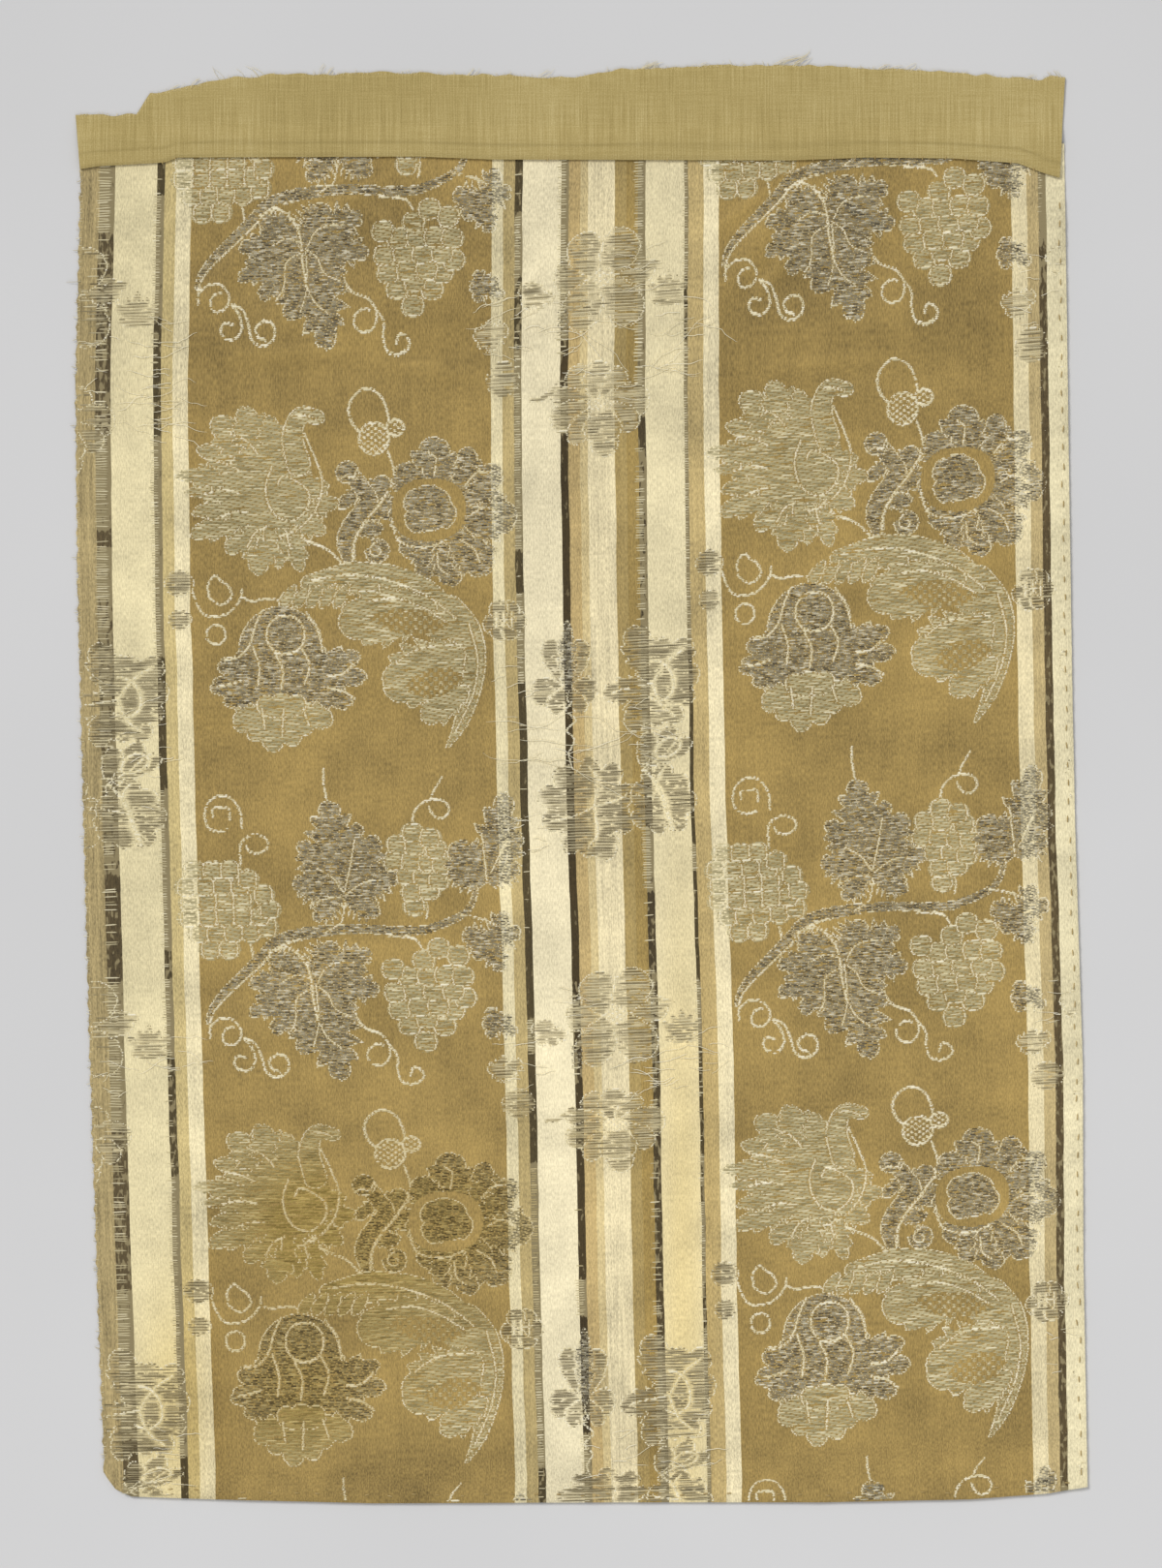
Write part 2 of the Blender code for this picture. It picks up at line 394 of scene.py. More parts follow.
def draw_vine(paper):
    """The long branch with its two great leaves."""
    stem = [(3.5, 38.5), (6, 46), (12, 53), (22, 62), (31, 70), (40, 79), (52, 83), (70, 85), (85, 85)]
    stem += [(100, 84), (115, 83.5), (125, 86), (135, 90), (141, 95), (144, 103), (145, 108)]
    upper_lobes = table(Lobe, [
        (68, 152, 24), (94, 133, 20), (53, 131, 17), (49, 110, 17), (104, 112, 17), (94, 92, 14),
        (60, 90, 13), (84, 140, 16),
    ])
    paper.fill(leaf((75, 104), upper_lobes, 7), TWILL, outlined=0.75)
    great_lobes = table(Lobe, [
        (89, 73, 19), (93, 53, 17), (80, 37, 15), (73, 8, 24), (52, 21, 17), (37, 32, 17),
        (25, 42, 15), (25, 58, 15), (35, 73, 15), (70, 79, 19),
    ])
    paper.fill(leaf((60, 60), great_lobes, 7), TWILL, outlined=0.75)
    paper.fill(stroke(stem, (2.5, 5.5, 7, 7, 5.5, 5, 5, 4, 3)), TWILL, outlined=0.55)
    paper.line([(p + 0.9, t - 2.3) for p, t in stem[:7]], 1.2)
    paper.line([(36, 74), (44, 76.5), (50, 74), (55, 68), (57.5, 60), (58.5, 50), (60.5, 38)], 1.6)
    paper.lines([
        [(76, 100), (75, 92), (73, 88), (66, 84)],
        [(76, 104), (79, 116), (82, 131)],
        [(75, 105), (70, 112), (62, 117)],
        [(77, 103), (86, 109), (95, 110)],
        [(74, 102), (66, 101), (58, 98)],
        [(58, 55), (50, 50), (49, 38), (45, 31)],
        [(60, 57), (61, 38), (58, 25)],
        [(61, 56), (66, 52), (70, 44), (78, 40)],
        [(61, 58), (65, 65), (72, 68), (80, 68)],
        [(57, 60), (50, 62), (43, 59)],
        [(60, 40), (65, 30), (72, 24)],
    ], 0.95)


def draw_side_leaves(paper):
    """The smaller leaves that run off the ground onto the stripes, and the sprigs beside them."""
    right = table(
        Lobe, [(161, 154, 19), (132, 128, 21), (129, 113, 13), (168, 133, 15), (167, 116, 14)],
    )
    paper.fill(leaf((150, 107), right), TWILL)
    paper.line([(150, 107), (149, 120), (148, 132)], 1.1)
    paper.line([(152, 112), (160, 127)], 1.1)
    small = table(Lobe, [(136, 81, 13), (142, 68, 12), (157, 61, 12), (167, 82, 13), (160, 92, 12)])
    paper.fill(leaf((150, 77), small, 4), TWILL)
    paper.line([(136, 91), (146, 88.5), (154, 85)], 1.4)
    sprig = table(Lobe, [(149, 43, 9), (161, 38, 8), (164, 29, 8), (148, 27, 8), (145, 35, 8)])
    paper.fill(leaf((153, 33), sprig, 3), TWILL)
    corner = table(Lobe, [
        (171, 33, 8), (190, 27, 7), (174, 22, 7), (178, 36, 7), (184, 33, 7), (184, 22, 6),
    ])
    paper.fill(leaf((178, 28), corner, 2), LINED)
    low = table(Lobe, [(147, 12, 7), (156, 18, 7), (166, 14, 8), (160, 6, 8), (151, 6, 7)])
    paper.fill(leaf((156, 11), low, 3), LINED)
    paper.fill(oval(163, 364, 9, 7.5), LINED, outlined=0.4)


def draw_grapes(paper):
    """Three bunches. Each berry is laid over the ones before it."""
    wide_rows = {
        76: (6, 15.5), 84.5: (1, 9, 18, 27), 87: (35.5,), 92.5: (-4, 5, 14, 23, 32), 96: (37,),
        100.5: (-3.5, 5, 14, 23), 104: (34,), 108.5: (-5, 4, 13, 22), 112: (26,), 117: (-1, 8, 17),
    }
    wide = [Berry(p, t) for t, row in wide_rows.items() for p in row]
    upper = table(Berry, [
        (112, 96), (111, 103), (120, 104), (108, 112), (117, 111), (125, 109), (102, 120),
        (111, 119), (120, 118), (127, 117), (104, 128), (113, 127), (124, 125), (112, 134),
        (121, 131),
    ])
    lower = table(Berry, [
        (116, 26), (126, 34), (108, 35), (117, 38), (131, 42), (103, 43), (113, 44), (123, 44),
        (137, 48), (101, 52), (111, 53), (121, 52), (131, 52), (108, 60), (118, 60), (127, 60), (136, 59),
        (100, 64), (116, 68), (134, 70), (124, 74),
    ])
    for bunch in (wide, upper, lower):
        paper.fill(together(*[oval(one.p, one.t, 6.4, 5.6) for one in bunch]), FLAT, outlined=0)
    for bunch, radius in ((wide, 5.2), (upper, 5.4), (lower, 5.8)):
        for one in bunch:
            paper.fill(oval(one.p, one.t, radius, radius * 0.92, 2.8), FLAT, outlined=0.95)


def draw_tendrils(paper):
    """Single lines of outline thread, each ending in a curl."""
    paper.lines([
        [(28, 72), (26.5, 80)],
        [(37, 76), (38.5, 83), (38.5, 90)],
        [
            (23, 119), (22.5, 127), (24, 132), (30, 135), (36, 133), (37, 129), (34, 126),
            (28, 126), (26, 129),
        ],
        [
            (24, 139), (23.5, 146), (20, 153), (14, 155.5), (7.5, 153), (5, 147), (6, 140),
            (11, 137), (17, 138),
        ],
        [(9, 145), (9.5, 149), (17, 149), (18, 143)],
        [
            (4.5, 31), (5, 36), (10, 40.5), (17, 39.5), (21, 33), (18, 27.5), (13, 27), (11, 31),
            (13, 35), (17, 36),
        ],
        [(22, 30), (26, 25), (27.5, 18), (24, 14), (19, 14.5), (16.5, 18), (19, 21), (23, 20)],
        [
            (23, 30), (28, 27), (31, 20), (33, 13), (38, 10.5), (43, 12), (45, 16), (43, 20.5),
            (39, 21.5),
        ],
        [(39, 21.5), (35, 18.5), (36, 14.5), (40, 13)],
        [
            (112, 137), (113, 144), (117, 149), (124, 151), (130, 149), (131, 144), (127, 141),
            (123, 143), (121, 147),
        ],
        [(122, 151), (124, 156), (128, 162)],
        [(118, 90), (119, 94), (118, 99)],
        [(98, 81), (106, 80.5), (112, 79), (115, 75), (117, 72)],
        [(80, 40), (85, 34), (92, 31), (96, 27), (97.5, 21), (95, 16), (90, 15), (86, 18), (86, 22.5)],
        [(86, 22.5), (90, 25.5), (94, 25)],
        [
            (93, 30.5), (98, 24), (101, 19), (101, 12), (103, 7), (108, 5.5), (113, 7), (114.5, 10),
            (112, 13),
        ],
        [(112, 13), (109, 13), (107.5, 9.5)],
        [(68, 153), (67, 160), (67, 168)],
    ], 1.5)


def lay_toothed(paper, petals, kind, outlined, teeth_and_form):
    """Toothed petals, each from its own root, laid one over another."""
    for one in petals:
        root, tip = (one.from_p, one.from_t), (one.p, one.t)
        paper.fill(petal(root, tip, one.wide, *teeth_and_form), kind, outlined=outlined)


def draw_peony(paper):
    """The large pale flower, its toothed petals worked as one field of thread."""
    petals = table(Petal, [
        (50, 300, 58, 270, 13), (46, 298, 46, 272, 13), (40, 300, 35, 269, 19),
        (40, 302, 19, 281, 17), (40, 306, 0, 290, 16), (40, 310, 1, 302, 13), (42, 314, -2, 313, 12),
        (40, 320, -7, 322, 13), (40, 322, 4, 336, 15), (50, 303, 78, 306, 14), (52, 300, 71, 290, 13),
        (52, 310, 73, 315, 12), (40, 328, 12, 351, 22), (42, 326, 27, 357, 20),
        (44, 328, 42, 352, 14),
    ])
    lay_toothed(paper, petals, FLAT, 0.7, (5, 0.5, 0.75, 0.24))
    paper.fill(oval(42, 315, 23, 22), FLAT, outlined=0)
    paper.fill(
        stroke([(57, 326), (54, 340), (58, 351), (67, 350)], (13, 12, 10, 8)), FLAT, outlined=0.9,
    )
    paper.lines([
        [
            (43, 325), (40, 316), (41, 306), (46, 299), (54, 297), (61, 303), (62, 311), (56, 317),
            (49, 320), (46, 316),
        ],
        [(60, 342), (65, 330), (69, 317), (66, 303), (57, 293), (47, 289)],
        [(55, 351), (61, 351), (66, 349)],
        [(22, 343), (30, 339), (36, 332)],
        [(9, 330), (18, 328), (26, 324)],
        [(8, 312), (18, 314), (26, 312)],
        [(14, 299), (22, 302), (30, 302)],
        [(30, 284), (34, 291), (40, 294)],
        [(52, 283), (51, 290), (56, 294)],
    ], 1.3)
    paper.line([(58, 288), (64, 285), (72, 281), (78, 275), (84, 271)], 1.6)


def draw_bud_spray(paper):
    """The chequered bud under its loop, and the long stem that carries the pair of flowers."""
    loop = [
        (90, 340), (85, 346), (83, 353), (85, 359), (90, 363), (95, 363), (100, 359), (103, 352),
        (104, 346),
    ]
    paper.line(loop, 1.7)
    scroll = [(84, 320), (90, 312), (93, 306), (88, 298), (83, 291), (81, 284), (83, 275), (84, 269)]
    paper.fill(petal((90, 300), (103, 318), 13, 4, 0.6, 0.5), TWILL)
    paper.fill(petal((86, 297), (112, 305), 12, 4, 0.6, 0.6), TWILL)
    paper.fill(petal((86, 290), (101, 292), 9, 3), TWILL)
    paper.fill(petal((88, 312), (77, 302), 8, 2), TWILL)
    paper.fill(stroke(scroll, (9, 9, 10, 11, 11, 8, 4)), TWILL)
    paper.fill(oval(82, 321, 6.5, 6), TWILL)
    paper.line([(77, 317), (81, 319), (85, 318), (87, 322)], 1.3)
    paper.fill(oval(97, 280, 6.8, 6.5), TWILL)
    paper.fill(oval(91, 284, 3, 3), NOTHING, outlined=0)
    paper.line(spiral(97, 280, 4.4, 0.9, 90), 1.2)
    paper.line([(103, 331), (106, 322), (105, 314), (98, 303), (90, 294), (85, 284), (84, 271)], 1.6)
    bud = together(oval(96, 338, 8.5, 9), oval(107, 343, 5.5, 5))
    paper.fill(bud, OUTLINE, outlined=0)
    paper.chequer(together(oval(96, 338, 7, 7.5), oval(107, 343, 3.6, 3.4)), OUTLINE, 2.0, 1.5)


def draw_dark_flower(paper):
    """The full-blown dark flower at the right of the ground."""
    petals = table(Petal, [
        (122, 292, 111, 276, 17), (128, 288, 120, 264, 16), (132, 288, 136, 260, 19),
        (136, 290, 155, 266, 23), (138, 297, 170, 294, 25), (136, 303, 162, 320, 21),
        (132, 305, 147, 331, 18), (126, 303, 127, 338, 25), (120, 303, 110, 325, 18),
        (118, 293, 103, 300, 14),
    ])
    lay_toothed(paper, petals, TWILL, 0.75, (5, 0.55, 0.65, 0.2))
    paper.fill(oval(127, 298, 17, 15), TWILL, outlined=0)
    paper.fill(oval(124, 300, 19, 16, 2.4), NOTHING, outlined=0)
    tips = ((112, 308), (122, 313), (134, 308), (138, 295), (126, 289), (113, 291))
    centre = [petal((124, 300), tip, 14, 3, 0.6, 0.4, 0.1) for tip in tips]
    paper.fill(together(*centre), TWILL, outlined=1.0)
    paper.lines([
        [(105, 296), (107, 287), (113, 282), (124, 281), (133, 284)],
        [(143, 312), (149, 318), (156, 318)],
        [(146, 297), (154, 300), (160, 296)],
        [(140, 284), (147, 279), (150, 272)],
        [(127, 318), (128, 326), (124, 330)],
        [(128, 278), (129, 270), (134, 266)],
    ], 1.2)


def draw_shell(paper):
    """The pale horned leaf: two toothed horns fringed with small petals, nets in their hollows,
    and a bud."""
    crest = [(62, 264), (82, 266), (102, 263), (120, 255), (136, 242)]
    horn = [(134, 248), (143, 236), (146, 220), (143, 203), (138, 189), (131, 177)]
    paper.fill(stroke(crest, (10, 17, 20, 20, 15)), FLAT, outlined=0.8)
    paper.fill(stroke(horn, (16, 15, 13, 11, 8, 2)), FLAT, outlined=0.8)
    paper.fill(stroke([(112, 254), (130, 244), (137, 228)], (16, 24, 20)), FLAT, outlined=0)
    paper.fill(petal((142, 227), (99, 207), 33, 6, 0.55, 0.6, 0.16), FLAT, outlined=0.8)
    paper.fill(petal((144, 208), (118, 192), 16, 4, 0.6, 0.6), FLAT, outlined=0.8)
    paper.fill(petal((128, 250), (76, 243), 29, 5, 0.55, 0.5, 0.14), FLAT, outlined=0.8)
    for p in range(46, 78, 7):
        paper.fill(petal((p + 9, 264), (p, 251), 7, 0, 0.6, 0.6), FLAT, outlined=0.8)
    paper.chequer(petal((133, 240), (92, 246), 13), FLAT, 2.5, 2.25)
    paper.chequer(petal((140, 214), (110, 208), 15), FLAT, 2.5, 2.25)
    paper.lines([
        [(62, 266), (84, 268), (104, 264), (122, 256), (137, 244)],
        [(92, 254), (106, 255), (120, 250), (132, 242)],
        [(144, 240), (148, 222), (145, 204), (136, 186)],
        [(140, 230), (128, 230), (116, 228), (106, 222)],
    ], 1.2)
    for tip in ((151, 238), (158, 231), (168, 232), (174, 241), (168, 251), (157, 252)):
        paper.fill(petal((162, 242), tip, 11, 0, 0.6, 0.5), LINED, outlined=0.8)
    for p in (158, 162, 166):
        paper.line([(p, 238), (p, 246)], 0.8)


def draw_tulip(paper):
    """The dark domed flower with a pale fringe under it."""
    tips = ((21, 190), (29, 184), (40, 177), (52, 180), (60, 186), (72, 191))
    scallops = [petal((46, 208), tip, 13, 3, 0.68, 0.5, 0.12) for tip in tips]
    paper.fill(together(oval(45, 203, 24, 15), *scallops), FLAT, outlined=0.9)
    tips = ((13, 223), (9, 211), (16, 203), (88, 226), (91, 215), (83, 201))
    parts = [petal((46, 218), tip, 14, 5, 0.6, 0.6, 0.24) for tip in tips]
    paper.fill(together(oval(46, 229, 22, 24), oval(46, 212, 26, 12), *parts), TWILL, outlined=0.9)
    collar = [petal((46, 196), tip, 11, 0, 0.65, 0.4) for tip in ((34, 205), (46, 208), (58, 205))]
    paper.fill(together(*collar), FLAT, outlined=0.9)
    paper.line(spiral(49, 238, 10, 1.0, 0, 1, 1.0), 1.5)
    paper.lines([
        [(37, 251), (33, 242), (30, 233), (24, 227), (17, 226)],
        [(60, 249), (66, 240), (68, 229)],
        [(32, 232), (35, 222), (34, 212)],
        [(43, 229), (47, 220), (46, 210)],
        [(57, 231), (61, 222), (58, 212)],
        [(70, 216), (78, 217), (84, 222)], [(70, 210), (78, 208), (84, 204)],
        [(26, 215), (19, 213), (13, 212)],
        [(36, 200), (37, 190)], [(47, 199), (46, 186)], [(57, 200), (60, 191)],
    ], 1.4)
    heart = [
        (10, 258), (9.5, 265), (13, 269.5), (16, 267), (20, 264), (21.5, 259), (18, 255), (14, 255),
        (10, 258),
    ]
    paper.line(heart, 1.5)
    paper.line(spiral(13, 239, 5.0, 1.0, 90, 1, 1.0), 1.5)
    paper.line(
        [(-2, 268), (1, 262), (4, 254), (8, 249), (17, 249), (22, 252), (26, 257), (27, 262)], 1.5,
    )
    paper.line([(27, 258), (32, 256), (40, 257), (46, 256)], 1.5)
    paper.fill(oval(-5, 266, 7.5, 7), LINED, outlined=0.6)
    paper.fill(oval(-5, 247, 6, 5.5), LINED, outlined=0.6)


def lay_petals(paper, heart, tips, outlined=0.8):
    """Blunt petals from one heart, laid one over another, each with its own cream rim."""
    for tip in tips:
        paper.fill(petal(heart, (tip.p, tip.t), tip.wide, 3, 0.66, 0.4, 0.07), LINED, outlined)


def lay_leaf(paper, heart, tips, bend=4):
    """One blunt-lobed leaf of long floats, with a bent cream vein down every third lobe."""
    lobes = [petal(heart, (tip.p, tip.t), tip.wide, 4, 0.6, 0.5, 0.16) for tip in tips]
    paper.fill(together(*lobes), LINED, outlined=0.7)
    for tip in tips[::3]:
        middle = ((heart[0] + tip.p) / 2 + bend, (heart[1] + tip.t) / 2)
        end = (heart[0] * 0.2 + tip.p * 0.8, heart[1] * 0.2 + tip.t * 0.8)
        paper.line([heart, middle, end], 1.0)


def draw_stripe_flowers(paper):
    """The figures down the stripes, worked in long floats that show as fine lines."""
    cross_flower = table(Lobe, [
        (188.5, 37, 18), (242, 40, 14), (197, 13, 20), (232, 14, 21), (200, 57, 20), (229, 59, 20),
    ])
    lay_petals(paper, (215, 36), cross_flower)
    paper.fill(petal((230, 39), (245, 42), 6), LINED, outlined=0.3)
    paper.chequer(oval(215, 36.5, 6, 5), OUTLINE, 2.0, 1.5)
    crown = [
        petal((248.5, 20), tip, 4.4, 0, 0.75, 0.5)
        for tip in ((238.5, 32), (243.5, 35), (248.5, 38), (253.5, 35), (258.5, 32))
    ]
    paper.fill(together(oval(248.5, 23, 9, 2.6, 3), *crown), LINED, outlined=0.1)
    hanging_flower = table(Lobe, [
        (197, 367, 15), (212, 370, 16), (226, 366, 13), (187, 357, 11), (187, 342, 15),
        (239, 352, 18), (233, 338, 14), (197, 331, 12), (216, 323, 16), (215, 330, 20),
    ])
    lay_petals(paper, (213, 350), hanging_flower)
    paper.fill(stroke([(177, 354), (182, 354), (187, 357), (191, 360)], (2, 3, 4)), LINED, outlined=0.3)
    paper.chequer(oval(213, 350, 6.5, 4), OUTLINE, 1.5, 1.5)
    thistle = table(Lobe, [
        (175, 203, 15), (210, 203, 14), (185, 193, 10), (203, 193, 9), (184, 231, 13),
        (203, 230, 13),
    ])
    lay_petals(paper, (193.5, 206), thistle, 0.85)
    paper.fill(petal((194, 202), (194.5, 241), 9.5, 4), TWILL, outlined=0.5)
    paper.line(
        [(196, 198), (193, 194), (198, 189), (193, 184), (197, 179), (194, 172), (195, 166)], 1.2,
    )
    moon_flower = table(Lobe, [
        (212, 201, 13), (228, 236, 18), (246, 229, 14), (259, 227, 16), (263, 211, 15),
        (260, 197, 13), (252, 185, 14), (226, 182, 15), (240, 184, 13),
    ])
    lay_leaf(paper, (238, 206), moon_flower, -3)
    paper.line([(238, 218), (244, 216), (248.5, 209), (248, 201), (242, 197), (236, 199)], 1.3)
    bud = table(Lobe, [(258, 176, 10), (250, 183, 11), (237, 181, 11)])
    lay_petals(paper, (231, 164), bud)
    paper.line(
        smooth([(239, 169), (241, 175), (247, 178), (252, 175), (249, 170), (243, 168)], True, 3), 1.3,
    )
    left = table(Lobe, [
        (204, 170, 13), (187, 165, 15), (177, 152, 15), (179, 136, 15), (191, 121, 14),
        (219, 166, 14), (228, 152, 14), (227, 133, 15), (213, 116, 16), (202, 118, 12),
    ])
    lay_leaf(paper, (206, 144), left)
    right = table(Lobe, [
        (225, 151, 15), (227, 134, 14), (239, 128, 10), (252, 130, 13), (260, 144, 14),
        (255, 158, 13), (243, 166, 12), (232, 163, 9),
    ])
    lay_leaf(paper, (242, 147), right, -3)
    paper.line([(233, 162), (238, 156), (242, 148), (244, 140), (247, 131)], 2.0)
    paper.chequer(oval(194, 15.5, 3.2, 5.8, 5), TWILL, 2.0, 1.5)


def chart():
    paper = PointPaper()
    draw_tendrils(paper)
    draw_grapes(paper)
    draw_vine(paper)
    draw_side_leaves(paper)
    draw_bud_spray(paper)
    draw_dark_flower(paper)
    draw_peony(paper)
    draw_shell(paper)
    draw_tulip(paper)
    draw_stripe_flowers(paper)
    return paper.squares


# ---------------------------------------------------------------- stripes

Stripe = namedtuple("Stripe", "start colour streaks shine")  # from start to the next stripe's start

# Across the cloth from its left edge. Streaks: how uneven the warps' colour is. Shine: how much
# satin there is.
STRIPES = table(Stripe, [
    (0.0, "#AA986B", 0.9, 0.2),
    (9.0, "#5A4D33", 0.5, 0.1),
    (16.5, "#E4D7AB", 0.12, 1.0),
    (38.2, "#4E4329", 0.5, 0.1),
    (42.5, "#C7B47D", 0.3, 0.3),
    (49.8, "#E5D8AF", 0.3, 0.5),
    (57.8, "#9F864D", 0.26, 0.4),
    (212.8, "#DFD2A8", 0.3, 0.5),
    (220.3, "#B6A26E", 0.35, 0.3),
    (226.4, "#4E4329", 0.4, 0.1),
    (229.8, "#EADEB9", 0.12, 1.0),
    (248.6, "#43371F", 0.3, 0.1),
    (253.6, "#BDA570", 0.3, 0.3),
    (259.6, "#CEBB89", 0.3, 0.3),
    (264.2, "#E2D4AB", 0.55, 0.5),
    (277.4, "#A7915B", 0.3, 0.3),
    (282.8, "#A0884F", 0.3, 0.3),
    (288.6, "#4B4029", 0.5, 0.1),
    (293.6, "#E7DAB0", 0.12, 1.0),
    (313.6, "#4E4329", 0.4, 0.1),
    (316.6, "#BFA973", 0.35, 0.3),
    (322.8, "#E8DBB3", 0.3, 0.5),
    (331.3, "#9F864D", 0.26, 0.4),
    (484.8, "#E0D2A8", 0.3, 0.5),
    (492.4, "#BCA877", 0.35, 0.3),
    (498.8, "#584A2F", 0.5, 0.1),
    (501.2, "#E6DBB4", 0.15, 0.8),
])

DarkRun = namedtuple("DarkRun", "stripe top bottom left_over")

# Iron-dyed silk rots first. These are the lengths where the dark warps survive, and how much of
# them.
DARK_RUNS = table(DarkRun, [
    (9.0, 132, 123, 0.9), (9.0, 285, 180, 0.55), (9.0, -45, -102, 0.8), (9.0, -178, -262, 0.6),
    (9.0, -338, -360, 0.9), (9.0, 95, -45, 0.3), (38.2, 322, 305, 0.9), (38.2, 242, 180, 0.75),
    (38.2, 66, -2, 0.9), (38.2, -84, -101, 0.7), (38.2, -140, -202, 0.65), (38.2, -348, -370, 0.9),
    (226.4, 325, 294, 0.9), (226.4, 261, 224, 0.5), (226.4, 121, 99, 0.9), (226.4, 52, -121, 0.95),
    (226.4, -139, -196, 0.95), (226.4, -352, -372, 0.8), (248.6, 230, 205, 0.85),
    (248.6, 181, -101, 1.0), (248.6, -154, -256, 0.95), (248.6, -274, -336, 0.95), (248.6, -101, -154, 0.6),
    (288.6, 191, 174, 0.9), (288.6, 2, -21, 0.9), (288.6, -54, -96, 0.8), (288.6, -96, -166, 0.5),
    (288.6, -179, -292, 0.65), (288.6, 172, 80, 0.2), (313.6, 261, 229, 0.5), (313.6, 71, -31, 0.95),
    (313.6, -44, -101, 0.9), (313.6, -134, -191, 0.75), (313.6, -195, -216, 0.4), (313.6, -254, -281, 0.5),
    (498.8, 282, 262, 0.5), (498.8, 262, 225, 0.6), (498.8, 225, -30, 0.8),
    (498.8, -30, -362, 0.68),
])
DARK_STRIPES = {
    9.0: 16.5, 38.2: 42.5, 226.4: 229.8, 248.6: 253.6, 288.6: 293.6, 313.6: 316.6, 498.8: 501.2,
}


def wear(across, y):
    """0 where the nearest dark stripe is whole, 1 where its warps have all gone."""
    starts = np.array(list(DARK_STRIPES))
    middles = (starts + np.array(list(DARK_STRIPES.values()))) / 2
    nearest = np.abs(across[..., None] - middles).argmin(axis=-1)
    left_over = np.zeros(across.shape)
    for run in DARK_RUNS:
        here = (starts[nearest] == run.stripe) & (y <= run.top) & (y >= run.bottom)
        left_over[here] = np.maximum(left_over[here], run.left_over)
    return 1 - left_over


# ---------------------------------------------------------------- small helpers

def linear(hex_colour):
    """A written colour as the renderer's linear RGBA."""
    values = [int(hex_colour[i : i + 2], 16) / 255 for i in (1, 3, 5)]
    return tuple(v / 12.92 if v <= 0.04045 else ((v + 0.055) / 1.055) ** 2.4 for v in values) + (1.0,)


def add(tree, kind, inputs=(), stops=(), **settings):
    """Adds a node with its settings, its ramp's stops, and its inputs: each a link or a value."""
    made = tree.nodes.new(kind)
    for name, value in settings.items():
        setattr(made, name, value)
    for key, value in dict(inputs).items():
        if isinstance(value, bpy.types.NodeSocket):
            tree.links.new(value, made.inputs[key])
        else:
            made.inputs[key].default_value = value
    if stops:
        ramp = made.color_ramp
        while len(ramp.elements) > 1:
            ramp.elements.remove(ramp.elements[-1])
        for place, colour in stops:
            stop = ramp.elements[0] if place == stops[0][0] else ramp.elements.new(place)
            stop.position = place
            stop.color = colour if len(colour) == 4 else (*colour, 1.0)
    return made


def maths(tree, operation, *values, **settings):
    """A sum on one or more values."""
    return add(tree, "ShaderNodeMath", enumerate(values), operation=operation, **settings).outputs[0]


def noise(tree, place, scale, detail, flat=True, **inputs):
    """Soft noise from 0 to 1. Flat noise reads only the two directions of the weave."""
    inputs = {"Vector": place, "Scale": scale, "Detail": detail, **inputs}
    return add(
        tree, "ShaderNodeTexNoise", inputs, noise_dimensions="2D" if flat else "3D"
    ).outputs["Fac"]


def stretched(tree, place, scale):
    return add(tree, "ShaderNodeMapping", {"Vector": place, "Scale": scale}).outputs[0]


def spanned(tree, value, *ends):
    """A value carried from one range, low and high, to another."""
    return add(tree, "ShaderNodeMapRange", enumerate((value, *ends))).outputs[0]


def stored(tree, name):
    return add(tree, "ShaderNodeAttribute", attribute_name=name).outputs["Fac"]


def tinted(tree, share, colour, tint, **settings):
    """A colour with a share of a tint mixed in, or multiplied in."""
    inputs = {0: share, 6: colour, 7: linear(tint)}
    return add(tree, "ShaderNodeMix", inputs, data_type="RGBA", **settings).outputs[2]


def shaded_ramp(tree, share, stops):
    stops = [(place, linear(colour)) for place, colour in stops]
    return add(tree, "ShaderNodeValToRGB", {"Fac": share}, stops=stops).outputs["Color"]


def finish(shader, **values):
    for name, value in values.items():
        shader.inputs[name.replace("_", " ")].default_value = value


def new_material(name):
    material = bpy.data.materials.new(name)
    material.use_nodes = True
    tree = material.node_tree
    return material, tree, tree.nodes["Principled BSDF"]


def mesh_object(name, points, faces, material=None):
    data = bpy.data.meshes.new(name)
    data.from_pydata(np.asarray(points).tolist(), [], faces)
    data.update()
    if material:
        data.materials.append(material)
    made = bpy.data.objects.new(name, data)
    bpy.context.scene.collection.objects.link(made)
    return made


def set_values(mesh, name, values):
    made = mesh.attributes.new(name, "FLOAT", "POINT")
    made.data.foreach_set("value", np.asarray(values, np.float32))


def set_map(mesh, name, per_point):
    """A UV map with one place per point of the mesh."""
    corners = np.empty(len(mesh.loops), np.int32)
    mesh.loops.foreach_get("vertex_index", corners)
    layer = mesh.uv_layers.new(name=name)
    layer.data.foreach_set("uv", np.asarray(per_point, np.float32)[corners].ravel())


def points_of(mesh):
    points = np.empty(len(mesh.vertices) * 3)
    mesh.vertices.foreach_get("co", points)
    return points.reshape(-1, 3)


def move_points(mesh, points):
    mesh.vertices.foreach_set("co", np.asarray(points, np.float64).ravel())
    mesh.update()


def remove(thing):
    data = thing.data
    bpy.data.objects.remove(thing)
    if data and not data.users:
        bpy.data.meshes.remove(data)


# ---------------------------------------------------------------- the silk itself

SHARP_DEG = 50  # edges that turn more than this stay crisp


def both_faces(values):
    """One value for each point of a closed sheet: its upper grid, then its lower."""
    return np.concatenate([values.ravel()] * 2)


